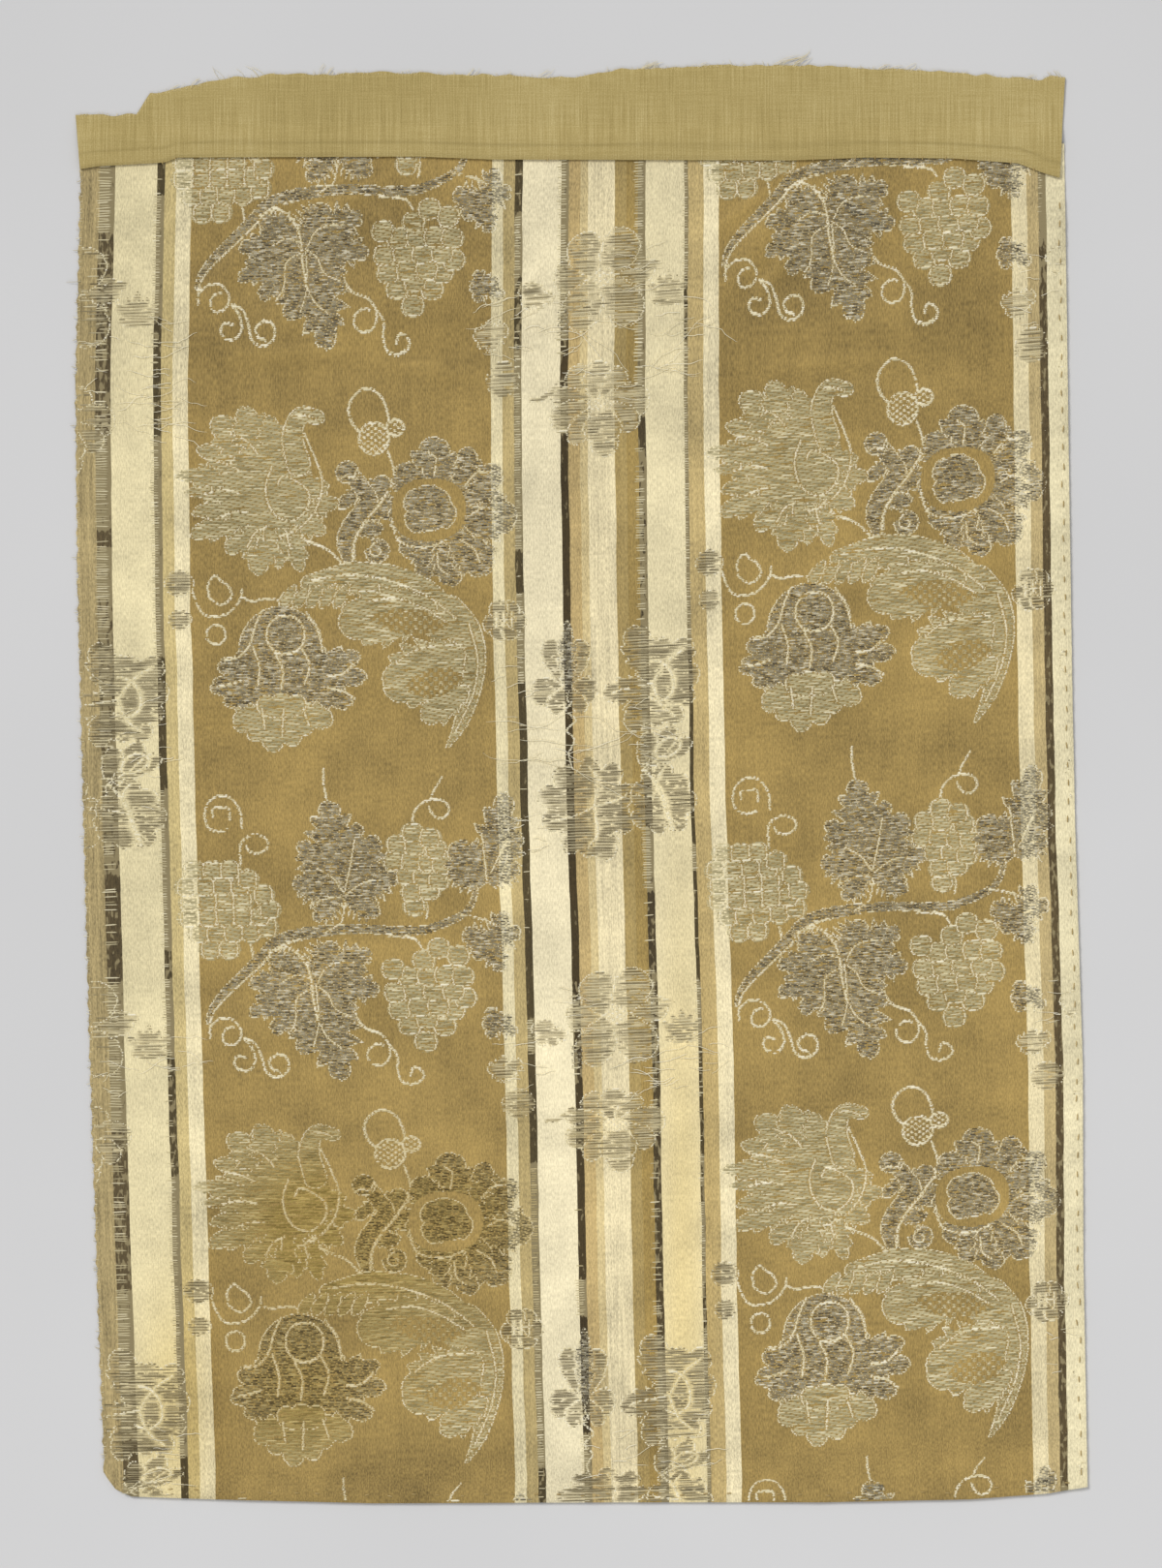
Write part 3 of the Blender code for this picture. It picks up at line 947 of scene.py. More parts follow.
def closed_sheet(name, under, over, material):
    """One closed sheet from two grids of points of one size, under and over."""
    rows, columns = over.shape[:2]
    index = np.arange(rows * columns).reshape(rows, columns)
    top = np.stack(
        [index[:-1, :-1], index[:-1, 1:], index[1:, 1:], index[1:, :-1]], axis=-1,
    ).reshape(-1, 4)
    base = top[:, ::-1] + rows * columns
    rim = np.concatenate([index[0, :], index[1:, -1], index[-1, -2::-1], index[-2:0:-1, 0]])
    after = np.roll(rim, -1)
    wall = np.stack([rim, rim + rows * columns, after + rows * columns, after], axis=-1)
    points = np.concatenate([over.reshape(-1, 3), under.reshape(-1, 3)]) * MM
    faces = np.concatenate([top, base, wall]).tolist()
    made = mesh_object(name, points, faces, material)
    made.data.shade_smooth()
    made.data.set_sharp_from_angle(angle=math.radians(SHARP_DEG))
    return made


GROUND_PITCH = 2.85  # between the lines of the silk's grid
LOWEST_Y = -370
RIM_ACROSS = (0.0022, 0.9955)  # extra grid lines close to the edges, as shares of the cloth
RIM_UP = (0.0016, 0.9985)
CREASED_ABOVE = 180  # from here to the top the silk is painted darker between the creases and lighter along their ridges: painted shade and light of the folds
Patch = namedtuple("Patch", "x y half_wide half_tall")
YELLOWED = table(Patch, [(52, -260, 15, 190), (-210, -320, 20, 60)])
SoilAndPaintedShade = namedtuple("SoilAndPaintedShade", "x y half_wide half_tall amount")
# Soft grey soiling over the silk, with painted shade over the ripples and creases where they turn from the
# light, and lighter places (below nought).
SOIL_AND_PAINTED_SHADE = table(SoilAndPaintedShade, [
    (-140, 255, 110, 60, 0.045), (130, 250, 110, 70, 0.075), (-80, 58, 34, 22, 0.16),
    (-190, 60, 30, 20, 0.07), (216, 60, 16, 200, -0.02), (0, -380, 320, 60, 0.11),
    (-60, -190, 120, 60, -0.05), (120, -220, 80, 60, -0.04), (-110, 120, 90, 40, 0.06),
    (90, 60, 60, 24, 0.08), (-235, 200, 10, 160, 0.05), (-60, 285, 40, 12, 0.1),
    (-12, -60, 60, 90, -0.06), (-212, 90, 12, 140, -0.07),
])


def silk_grid():
    """x and y of the ground's grid: even columns across the weave, rows from the lower edge to
    the hidden top."""
    across = np.linspace(0, 1, round(CLOTH_WIDE / GROUND_PITCH) + 1)
    up = np.linspace(0, 1, round((BROCADE_TOP - LOWEST_Y) / GROUND_PITCH) + 1)
    across = np.sort(np.concatenate([across, RIM_ACROSS]))
    up = np.sort(np.concatenate([up, RIM_UP]))
    share, height = np.meshgrid(across, up)
    y = BOTTOM_EDGE[0].offset * (1 - height) + BROCADE_TOP * height
    for _ in range(4):
        x = offsets(LEFT_EDGE, y) * (1 - share) + offsets(RIGHT_EDGE, y) * share
        y = offsets(BOTTOM_EDGE, x) * (1 - height) + BROCADE_TOP * height
    return x, y


def ground_silk(material):
    x, y = silk_grid()
    over = np.stack([x, y, face_height(x, y)], axis=-1)
    under = np.stack([x, y, ripple_height(x, y)], axis=-1)
    rim = np.zeros(x.shape, bool)
    rim[[0, -1], :] = True
    rim[:, [0, -1]] = True
    over[..., 2] -= EDGE_DROP * rim
    ragged = 0.45 * np.sin(y[:, 0] * 1.3) + 0.35 * np.sin(y[:, 0] * 0.47 + 1)
    for sheet in (over, under):
        sheet[:, 0, 0] += ragged
    silk = closed_sheet("ground_silk", under, over, material)
    across, row = in_weave(x, y)
    set_map(silk.data, "weave", np.stack([both_faces(across), both_faces(row)], axis=-1) * MM)
    set_values(silk.data, "worn", both_faces(wear(across, y)))
    folds = ripple_height(x, y, CREASES)
    # Painted shade and light of the creases: a shade over the flat silk between them and a lighter tone
    # along their ridges, added to the soiling.
    painted_crease_shade = 0.16 * np.clip(0.3 - folds, -0.5, 0.3) * (y > CREASED_ABOVE)
    set_values(silk.data, "soil_and_painted_shade", both_faces(patches_over(x, y, SOIL_AND_PAINTED_SHADE) + painted_crease_shade))
    set_values(silk.data, "yellowed", both_faces(np.clip(patches_over(x, y, YELLOWED), 0, 1)))
    return silk


def stripe_ramp(tree, place, values):
    """A ramp that holds one value across each stripe."""
    stops = [(stripe.start / CLOTH_WIDE, value) for stripe, value in zip(STRIPES, values)]
    made = add(tree, "ShaderNodeValToRGB", {"Fac": place}, stops=stops)
    made.color_ramp.interpolation = "CONSTANT"
    return made.outputs["Color"]


def silk_material():
    """Warp-faced silk satin: stripes of dyed warps, each a little different, over hidden wefts.
    To the eye it is matt gold between creamy satin stripes that catch the light along their warps."""
    material, tree, shader = new_material("figured_silk_satin_striped_warp")
    weave = add(tree, "ShaderNodeUVMap", uv_map="weave").outputs["UV"]
    split = add(tree, "ShaderNodeSeparateXYZ", {"Vector": weave})
    wobble = maths(tree, "ADD", noise(tree, weave, 30.0, 2.0), -0.5)
    shift = maths(tree, "MULTIPLY_ADD", wobble, 0.0012, split.outputs["X"])
    place = maths(tree, "MULTIPLY", shift, 1 / (CLOTH_WIDE * MM))
    stripe = stripe_ramp(tree, place, [linear(s.colour) for s in STRIPES])
    dye = stripe_ramp(tree, place, [(s.streaks, s.shine, 0, 1) for s in STRIPES])
    dye_parts = add(tree, "ShaderNodeSeparateColor", {"Color": dye})
    streaks, shine = dye_parts.outputs["Red"], dye_parts.outputs["Green"]

    # Warps run up the cloth, so their colour changes quickly across and slowly along.
    warps = stretched(tree, weave, (1.0, 0.03, 1.0))
    coarse = noise(tree, warps, 700.0, 3.0, Roughness=0.7)
    uneven = maths(tree, "MULTIPLY", spanned(tree, coarse, 0.3, 0.7, -1.0, 1.0), streaks)
    # The satin's own grain: short slubs a few millimetres long, quieter on the shiny stripes.
    slub = noise(tree, stretched(tree, weave, (1.0, 0.3, 1.0)), 1600.0, 2.0)
    grain = spanned(tree, slub, 0.25, 0.75, -0.27, 0.27)
    even = spanned(tree, shine, 0.4, 1.0, 1.0, 0.7)
    grain = maths(tree, "MULTIPLY", grain, even)
    spread = maths(tree, "ADD", noise(tree, weave, 22.0, 5.0, Roughness=0.65), -0.5)
    soil = maths(tree, "MULTIPLY", spread, even)
    tone = maths(tree, "ADD", maths(tree, "MULTIPLY_ADD", uneven, 0.30, grain), soil)
    # Painted shade: this darkens the silk where it is soiled and where its ripples and creases turn from
    # the light.
    tone = maths(tree, "SUBTRACT", tone, stored(tree, "soil_and_painted_shade"))
    tone = maths(tree, "ADD", tone, 1.0)
    dyed = add(tree, "ShaderNodeVectorMath", {0: stripe, "Scale": tone}, operation="SCALE").outputs[0]
    aged = tinted(tree, stored(tree, "yellowed"), dyed, "#F8F0D8", blend_type="MULTIPLY")

    # Where the dark warps have rotted only the pale wefts are left, over the shadow behind them.
    lost = stored(tree, "worn")
    fray = noise(tree, stretched(tree, weave, (1.0, 0.35, 1.0)), 500.0, 3.0)
    gone = maths(tree, "ADD", lost, spanned(tree, fray, 0.3, 0.7, -0.5, 0.5))
    bare = spanned(tree, gone, 0.4, 0.62, 0.0, 1.0)
    dark = maths(tree, "LESS_THAN", shine, 0.15)
    shown = tinted(tree, maths(tree, "MULTIPLY", bare, dark), aged, "#8C7F5D")
    tree.links.new(shown, shader.inputs["Base Color"])

    ribs = noise(tree, stretched(tree, weave, (0.05, 1.0, 1.0)), 1500.0, 1.0)
    relief = maths(tree, "ADD", slub, ribs)
    bump = add(tree, "ShaderNodeBump", {"Strength": 0.35, "Distance": 0.0003, "Height": relief})
    tree.links.new(bump.outputs[0], shader.inputs["Normal"])
    tree.links.new(spanned(tree, shine, 0.0, 1.0, 0.75, 0.48), shader.inputs["Roughness"])
    finish(shader, Specular_IOR_Level=0.25, Sheen_Weight=0.08, Sheen_Roughness=0.4)
    return material


# ---------------------------------------------------------------- the floats

# Stops: a thread's colour from its dullest to its brightest
Stuff = namedtuple("Stuff", "name roughness stops")

# Flat silver strip wound on silk, gone grey-brown with tarnish. A few floats still show a paler
# metal.
TARNISHED = Stuff("tarnished_silver_strip_on_silk", 0.42, (
    (0.0, "#4C463A"), (0.35, "#7B7461"), (0.7, "#A69F87"), (1.0, "#E0DAC4"),
))
# Paler wound silver over a yellow silk core: greyer than the ground, with bright lines where it
# is clean.
PALE = Stuff("pale_silver_thread_yellow_core", 0.45, (
    (0.0, "#8C835F"), (0.4, "#B3A982"), (0.75, "#D4CAA2"), (1.0, "#F0E8C8"),
))
# The same silver thread in long loose floats over the stripes, greyer and darker.
LONG_FLOATS = Stuff("tarnished_silver_long_floats", 0.42, (
    (0.0, "#695F48"), (0.35, "#8D8265"), (0.65, "#B4A988"), (1.0, "#DED3AE"),
))
# Soft undyed silk in stepped floats, which draws the figures' edges and veins in cream.
CREAM_SILK = Stuff("cream_silk_outline_floats", 0.55, (
    (0.0, "#C2B68C"), (0.4, "#DDD2AA"), (0.8, "#EFE7C8"), (1.0, "#F8F2DC"),
))
# Thin undyed silk wefts laid bare where the dark warps have gone, dulled by dust.
BARE_WEFT = Stuff("bare_silk_weft", 0.6, ((0.0, "#A99D78"), (0.5, "#D2C7A1"), (1.0, "#F0E7C6")))
# Waxed linen thread of the hems, brown with age and a little smoother than the silk round it.
SEWING = Stuff("waxed_linen_sewing_thread", 0.5, ((0.0, "#A0874F"), (1.0, "#C4AE7A")))
# Single cotton threads from the torn edge, paler than the cloth because light comes through them.
LOOSE_COTTON = Stuff("loose_cotton_thread", 0.8, ((0.0, "#CDBB84"), (0.5, "#DDCE9E"), (1.0, "#EFE3BC")))


def thread_material(stuff):
    """A thread with its own shade, mottled along its length and browned where the cloth has aged
    most."""
    material, tree, shader = new_material(stuff.name)
    shade = stored(tree, "shade")
    along = stretched(tree, add(tree, "ShaderNodeTexCoord").outputs["Object"], (0.3, 1.0, 1.0))
    mottle = spanned(tree, noise(tree, along, 900.0, 2.0, False), 0.3, 0.7, -0.12, 0.12)
    mixed = maths(tree, "ADD", shade, mottle, use_clamp=True)
    colour = shaded_ramp(tree, mixed, stuff.stops)
    browned = tinted(tree, stored(tree, "warmth"), colour, "#D9C994", blend_type="MULTIPLY")
    tree.links.new(browned, shader.inputs["Base Color"])
    finish(shader, Roughness=stuff.roughness, Specular_IOR_Level=0.3)
    return material


def float_shape(name, rings):
    """A thread lying on the cloth: 1 long, 1 wide and 1 high, ridged, tapering to both ends."""
    points = [(-0.5, 0, 0)]
    for place, size in rings:
        points += [(place, -0.5 * size, 0), (place, 0.5 * size, 0), (place, 0, size)]
    points.append((0.5, 0, 0))
    last = len(points) - 1
    first, end = 1, last - 3
    faces = [(0, first + (i + 1) % 3, first + i) for i in range(3)]
    for ring in range(len(rings) - 1):
        a, b = 1 + 3 * ring, 4 + 3 * ring
        faces += [(a + i, a + (i + 1) % 3, b + (i + 1) % 3, b + i) for i in range(3)]
    faces += [(last, end + i, end + (i + 1) % 3) for i in range(3)]
    shape = mesh_object(name, points, faces)
    shape.hide_render = True
    return shape


def sockets(tree, made, **kinds):
    """Gives a tree its named inputs and its one output, and returns the inputs' ends inside it."""
    for name, kind in kinds.items():
        tree.interface.new_socket(
            name.replace("_", " "), in_out="INPUT", socket_type="NodeSocket" + kind,
        )
    tree.interface.new_socket(made, in_out="OUTPUT", socket_type="NodeSocketGeometry")
    return add(tree, "NodeGroupInput").outputs


def finish_tree(tree, geometry, thread):
    """Makes the instances real and gives them their thread."""
    real = add(tree, "GeometryNodeRealizeInstances", {"Geometry": geometry})
    dressed = add(tree, "GeometryNodeSetMaterial", {"Geometry": real.outputs[0], "Material": thread})
    result = add(tree, "NodeGroupOutput")
    tree.links.new(dressed.outputs[0], result.inputs[0])
    return tree


def laid_floats_tree():
    """Lays a float on each point, as long, wide and high as the point says, each a little out of
    true."""
    tree = bpy.data.node_groups.new("laid_floats", "GeometryNodeTree")
    given = sockets(
        tree, "Floats", Threads="Geometry", Short_float="Object", Long_float="Object", Long_from="Float",
        Turn="Float", Seed="Int", Thread="Material",
    )
    reach, wide, high = (
        add(
            tree, "GeometryNodeInputNamedAttribute", {"Name": name}, data_type="FLOAT",
        ).outputs["Attribute"]
        for name in ("reach", "wide", "high")
    )
    spread = add(
        tree, "FunctionNodeRandomValue", {
            "Min": (0.94, 0.85, 0.8), "Max": (1.06, 1.15, 1.2), "Seed": given["Seed"],
        },
        data_type="FLOAT_VECTOR",
    )
    size = add(tree, "ShaderNodeCombineXYZ", {"X": reach, "Y": wide, "Z": high})
    scale = add(
        tree, "ShaderNodeVectorMath", {0: size.outputs[0], 1: spread.outputs["Value"]},
        operation="MULTIPLY",
    )
    other_seed = add(tree, "ShaderNodeMath", {0: given["Seed"], 1: 7.0}, operation="ADD")
    lowest = add(tree, "ShaderNodeMath", {0: given["Turn"], 1: -1.0}, operation="MULTIPLY")
    askew = add(
        tree, "FunctionNodeRandomValue", {
            2: lowest.outputs[0], 3: given["Turn"], "Seed": other_seed.outputs[0],
        },
        data_type="FLOAT",
    )
    euler = add(tree, "ShaderNodeCombineXYZ", {"Z": askew.outputs[1]})
    turn = add(tree, "FunctionNodeEulerToRotation", {"Euler": euler.outputs[0]})
    is_long = add(
        tree, "FunctionNodeCompare", {0: reach, 1: given["Long from"]}, data_type="FLOAT",
        operation="GREATER_THAN",
    )
    is_short = add(tree, "FunctionNodeBooleanMath", {0: is_long.outputs[0]}, operation="NOT")
    joined = add(tree, "GeometryNodeJoinGeometry")
    for chosen, shape in ((is_short, "Short float"), (is_long, "Long float")):
        form = add(tree, "GeometryNodeObjectInfo", {"Object": given[shape]})
        laid = add(
            tree, "GeometryNodeInstanceOnPoints",
            {
                "Points": given["Threads"], "Selection": chosen.outputs[0],
                "Instance": form.outputs["Geometry"],
                "Rotation": turn.outputs[0], "Scale": scale.outputs[0],
            },
        )
        tree.links.new(laid.outputs[0], joined.inputs[0])
    return finish_tree(tree, joined.outputs[0], given["Thread"])


def spun_threads_tree():
    """Turns each line of points into a round thread as thick as its points say."""
    tree = bpy.data.node_groups.new("spun_threads", "GeometryNodeTree")
    given = sockets(tree, "Threads", Lines="Geometry", Sides="Int", Thread="Material")
    thick = add(
        tree, "GeometryNodeInputNamedAttribute", {"Name": "thick"}, data_type="FLOAT",
    ).outputs["Attribute"]
    lines = add(tree, "GeometryNodeMeshToCurve", {"Mesh": given["Lines"]})
    ring = add(tree, "GeometryNodeCurvePrimitiveCircle", {"Resolution": given["Sides"], "Radius": 0.5})
    spun = add(
        tree, "GeometryNodeCurveToMesh",
        {
            "Curve": lines.outputs[0], "Profile Curve": ring.outputs[0], "Scale": thick,
            "Fill Caps": True,
        },
    )
    return finish_tree(tree, spun.outputs[0], given["Thread"])


def grown(name, source, tree, values):
    """The mesh that a tree makes from a source object, as an object of its own."""
    modifier = source.modifiers.new(tree.name, "NODES")
    modifier.node_group = tree
    for item in tree.interface.items_tree:
        if item.in_out == "INPUT" and item.name in values:
            modifier[item.identifier] = values[item.name]
    source.update_tag()
    bpy.context.view_layer.update()
    evaluated = source.evaluated_get(bpy.context.evaluated_depsgraph_get())
    data = bpy.data.meshes.new_from_object(evaluated)
    data.name = name
    remove(source)
    made = bpy.data.objects.new(name, data)
    bpy.context.scene.collection.objects.link(made)
    return made


def bake_map(piece):
    """A plan of the piece seen from above, for finishes that are fixed into its surface."""
    points = points_of(piece.data)
    low, high = points.min(axis=0)[:2], points.max(axis=0)[:2]
    set_map(piece.data, "OFBake", (points[:, :2] - low) / (high - low).max())


Thread = namedtuple("Thread", "reach wide high shade spread")  # usual size, and the range of shades
LONG_FROM = 3.4  # floats longer than this are level along their middle
SUNK = 0.03  # how far a float presses into the silk

# Where the tarnish has turned brown.
WARM_PATCHES = table(Patch, [
    (-60, -222, 60, 56), (-146, -312, 62, 50), (-140, -225, 50, 40),
])


def floats_object(name, across, row, reach, wide, high, shade, material, seed, shapes, tree, turn=0.02):
    """Floats at places of the weave, laid flat by the node tree and then put on the cloth's
    face."""
    points = np.stack([across, row, np.zeros(len(across))], axis=-1)
    source = mesh_object(name + "_plan", points, [])
    for key, values in (("reach", reach), ("wide", wide), ("high", high), ("shade", shade)):
        set_values(source.data, key, np.broadcast_to(values, across.shape))
    values = {
        "Short float": shapes[0], "Long float": shapes[1], "Long from": LONG_FROM,
        "Turn": turn, "Seed": seed, "Thread": material,
    }
    made = grown(name, source, tree, values)
    flat = points_of(made.data)
    x, y = on_table(flat[:, 0], flat[:, 1])
    z = face_height(x, y) + flat[:, 2] - SUNK
    move_points(made.data, np.stack([x, y, z], axis=-1) * MM)
    warmth = np.clip(patches_over(x, y, WARM_PATCHES), 0, 1)
    set_values(made.data, "warmth", warmth * (0.5 if "outline" in name else 1))
    bake_map(made)
    return made


def runs_of(held):
    """Start, end and row of each unbroken run of squares that are held."""
    padded = np.zeros((held.shape[0], held.shape[1] + 2), np.int8)
    padded[:, 1:-1] = held
    change = np.diff(padded, axis=1)
    row, start = np.nonzero(change == 1)
    _, end = np.nonzero(change == -1)
    return start, end, row


LOWEST_ROW, HIGHEST_ROW = -234.0, 482.0


def whole_cloth(squares):
    """The chart repeated over the whole cloth, with each square's place in the weave."""
    rows = np.arange(math.floor(LOWEST_ROW / WEFT), math.ceil(HIGHEST_ROW / WEFT))
    columns = np.arange(int(CLOTH_WIDE / SQUARE))
    across = (columns + 0.5) * SQUARE
    drawn_in = np.interp(across, [0, 16, 42, 58], [3.5, 3.3, 0.8, 0])
    charted = across - FIRST_REPEAT + drawn_in
    column = np.floor(charted / SQUARE).astype(int) % squares.shape[1]
    return rows, squares[np.ix_(rows % WEFTS, column)], column


def clear_of_edges(across, row, reach):
    """Keeps floats that lie wholly on the cloth and below the heading."""
    x, y = on_table(across, row)
    low = offsets(BOTTOM_EDGE, x)
    top = offsets(HEADING_LOWER_EDGE, x) + 1.5
    inside = (across - reach / 2 > 0.6) & (across + reach / 2 < CLOTH_WIDE - 0.8)
    return inside & (y > low + 1.0) & (y < top)


TIE_EVERY = 7  # the dark floats are bound down at every seventh square
PALE_TIE_EVERY = 14
OUTLINE_TIE_EVERY = 11
SPECKS_SHOWN = 0.7  # share of the dark floats' ties that show as a speck
STRIPE_BREAKS = 0.02  # share of squares where a float over the stripes is broken
FLOATS_LOST = 0.03
FLOAT_SEED = 20
BRIGHTER = 0.28  # the two flowers near the ends of the repeat have the less tarnished thread
BRIGHT_BELOW, BRIGHT_ABOVE = 70, 315  # where those two lie in the repeat
ROW_CONTRAST = {TWILL: 0.1, FLAT: 0.1, LINED: 0.26}  # every other weft is a duller thread


def lay_figures(squares, materials, shapes, tree):
    """All the floats of the figures, as pieces of one thread each."""
    chance = np.random.default_rng(5)
    rows, cloth, column = whole_cloth(squares)
    row_index = np.arange(len(rows))[:, None] + rows[0]
    tie = (column + 3 * row_index + chance.integers(0, 3, len(rows))[:, None]) % TIE_EVERY < 1
    speck = (cloth == TWILL) & tie & (chance.random(cloth.shape) < SPECKS_SHOWN)
    unbroken = chance.random(cloth.shape) > STRIPE_BREAKS
    kinds = (
        ("tarnished_floats", TWILL, (cloth == TWILL) & ~tie, Thread(0.45, 0.70, 0.34, 0.50, 0.44)),
        ("binding_specks", OUTLINE, speck, Thread(0.7, 0.52, 0.44, 0.34, 0.5)),
        (
            "pale_floats", FLAT, (cloth == FLAT) & ((column + 5 * row_index) % PALE_TIE_EVERY != 0),
            Thread(0.35, 0.74, 0.40, 0.54, 0.30),
        ),
        ("stripe_floats", LINED, (cloth == LINED) & unbroken, Thread(0.4, 0.66, 0.42, 0.49, 0.3)),
        (
            "outline_floats", OUTLINE,
            (cloth == OUTLINE) & ((column + 4 * row_index) % OUTLINE_TIE_EVERY != 0),
            Thread(0.4, 0.88, 0.52, 0.78, 0.3),
        ),
    )
    pieces = []
    for number, (name, kind, held, thread) in enumerate(kinds):
        start, end, row = runs_of(held)
        across = (start + end) / 2 * SQUARE
        reach = (end - start) * SQUARE + thread.reach
        place = (rows[row] + 0.5) * WEFT
        keep = clear_of_edges(across, place, reach) & (chance.random(len(row)) > FLOATS_LOST)
        across, reach, place, row = across[keep], reach[keep], place[keep], row[keep]
        shade = thread.shade + thread.spread * chance.normal(0, 0.6, len(row))
        if kind in ROW_CONTRAST:
            shade = shade + np.where(rows[row] % 2 == 0, 1, -1) * ROW_CONTRAST[kind]
        if kind == LINED:
            height = rows[row] % WEFTS * WEFT
            shade = shade + BRIGHTER * ((height < BRIGHT_BELOW) | (height > BRIGHT_ABOVE))
        halves = (across < CLOTH_WIDE / 2, across >= CLOTH_WIDE / 2)
        for side, half in zip(("left", "right"), halves):
            pieces.append(
                floats_object(
                    f"{name}_{side}", across[half], place[half], reach[half], thread.wide, thread.high,
                    np.clip(shade[half], 0, 1), materials[kind], FLOAT_SEED + number, shapes, tree,
                )
            )
    return pieces


BARE_WEFT_PITCH = 1.3
BARE_WEFT_WIDE, BARE_WEFT_HIGH = 0.62, 0.3
BARE_WEFT_SEED = 31
BARE_WEFT_TURN = 0.08  # in radians, how far a weft may lie out of true


def bare_wefts(material, shapes, tree):
    """The wefts that show like the rungs of a ladder where the dark warps have rotted."""
    chance = np.random.default_rng(8)
    across, row, reach = [], [], []
    for start, end in DARK_STRIPES.items():
        places = np.arange(LOWEST_ROW, HIGHEST_ROW, BARE_WEFT_PITCH)
        places = places + chance.normal(0, 0.12, len(places))
        middle = np.full(len(places), (start + end) / 2)
        _, y = on_table(middle, places)
        shown = chance.random(len(places)) < wear(middle, y) * 0.92
        across.append(middle[shown] + chance.normal(0, 0.25, shown.sum()))
        row.append(places[shown])
        reach.append((end - start + 0.8) * chance.uniform(0.75, 1.05, shown.sum()))
    across, row, reach = (np.concatenate(part) for part in (across, row, reach))
    keep = clear_of_edges(across, row, reach)
    across, row, reach = across[keep], row[keep], reach[keep]
    shade = np.clip(chance.normal(0.5, 0.22, len(row)), 0, 1)
    return floats_object(
        "bare_wefts", across, row, reach, BARE_WEFT_WIDE, BARE_WEFT_HIGH, shade, material,
        BARE_WEFT_SEED, shapes, tree, BARE_WEFT_TURN,
    )


def thread_lines(name, lines, thick, shades, material, tree, sides=4):
    """Separate threads from lists of x, y, z points."""
    points, edges, shade, width = [], [], [], []
    for line, one_shade, one_thick in zip(lines, shades, thick):
        start = len(points)
        points += [tuple(p) for p in line]
        edges += [(start + i, start + i + 1) for i in range(len(line) - 1)]
        shade += [one_shade] * len(line)
        width += list(
            np.interp(np.linspace(0, 1, len(line)), [0, 0.1, 0.8, 1], [0.7, 1, 1, 0.35]) * one_thick
        )
    data = bpy.data.meshes.new(name + "_plan")
    data.from_pydata([(x * MM, y * MM, z * MM) for x, y, z in points], edges, [])
    set_values(data, "shade", shade)
    set_values(data, "thick", np.array(width) * MM)
    source = bpy.data.objects.new(name + "_plan", data)
    bpy.context.scene.collection.objects.link(source)
    made = grown(name, source, tree, {"Sides": sides, "Thread": material})
    bake_map(made)
    return made


Fray = namedtuple("Fray", "across row spread count reach")

# Places where broken silk ends wander over the face: in the weave, with how far and how many.
FRAYS = table(Fray, [
    (42, 385, 14, 9, 18), (40, 20, 12, 9, 18), (44, 350, 10, 14, 20), (46, 366, 10, 9, 18),
    (250, 40, 5, 7, 10), (290, 10, 16, 12, 18), (250, 380, 8, 8, 12), (228, 205, 7, 6, 12),
    (318, 12, 10, 9, 16), (318, 378, 10, 10, 20), (40, 175, 8, 6, 12), (292, 180, 8, 8, 16),
    (226, 8, 6, 6, 12), (498, 20, 7, 6, 10), (498, 390, 7, 8, 10), (12, 380, 6, 6, 9),
    (12, 10, 6, 6, 9), (255, 175, 12, 12, 32), (226, 390, 8, 9, 18), (290, 400, 9, 9, 16),
    (300, 200, 10, 5, 12), (30, 200, 10, 5, 12), (270, -195, 16, 8, 14), (30, -190, 12, 8, 12),
    (316, -190, 6, 5, 12), (498, -150, 5, 5, 9), (286, 360, 14, 10, 28), (232, 130, 8, 7, 12),
])


def wandering(start_across, start_row, reach, chance):
    """A loose silk end: it drifts mostly across the cloth and turns back on itself a little."""
    first = chance.choice([0, math.pi]) + chance.normal(0, 0.15)
    heading = first
    steps, place, line = 11, np.array([start_across, start_row]), []
    for _ in range(steps):
        line.append(place.copy())
        heading += chance.normal(0, 0.2) - 0.25 * (heading - first)
        place = place + reach / steps * np.array([math.cos(heading), math.sin(heading)])
    return np.array(line)


def frayed_silk(material, tree):
    chance = np.random.default_rng(17)
    lines = []
    for fray in FRAYS:
        for _ in range(round(1.1 * fray.count)):
            start = (fray.across + chance.normal(0, fray.spread / 2), fray.row + chance.normal(0, 9))
            line = wandering(*start, fray.reach * chance.uniform(0.5, 1.4), chance)
            line[:, 0] = np.clip(line[:, 0], 1.0, CLOTH_WIDE - 1.0)
            x, y = on_table(line[:, 0], line[:, 1])
            inside = (y > offsets(BOTTOM_EDGE, x) + 1) & (y < offsets(HEADING_LOWER_EDGE, x) - 1)
            if inside.all():
                arch = np.sin(np.linspace(0, math.pi, len(x)))
                lift = 0.35 + 0.35 * arch * chance.uniform(0.3, 1.2)
                lines.append(np.stack([x, y, face_height(x, y) + lift], axis=-1))
    thick = chance.uniform(0.2, 0.36, len(lines))
    return thread_lines(
        "frayed_silk_ends", lines, thick, chance.uniform(0.7, 1, len(lines)), material, tree,
    )


EDGE_FRAY_PITCH = 2.1


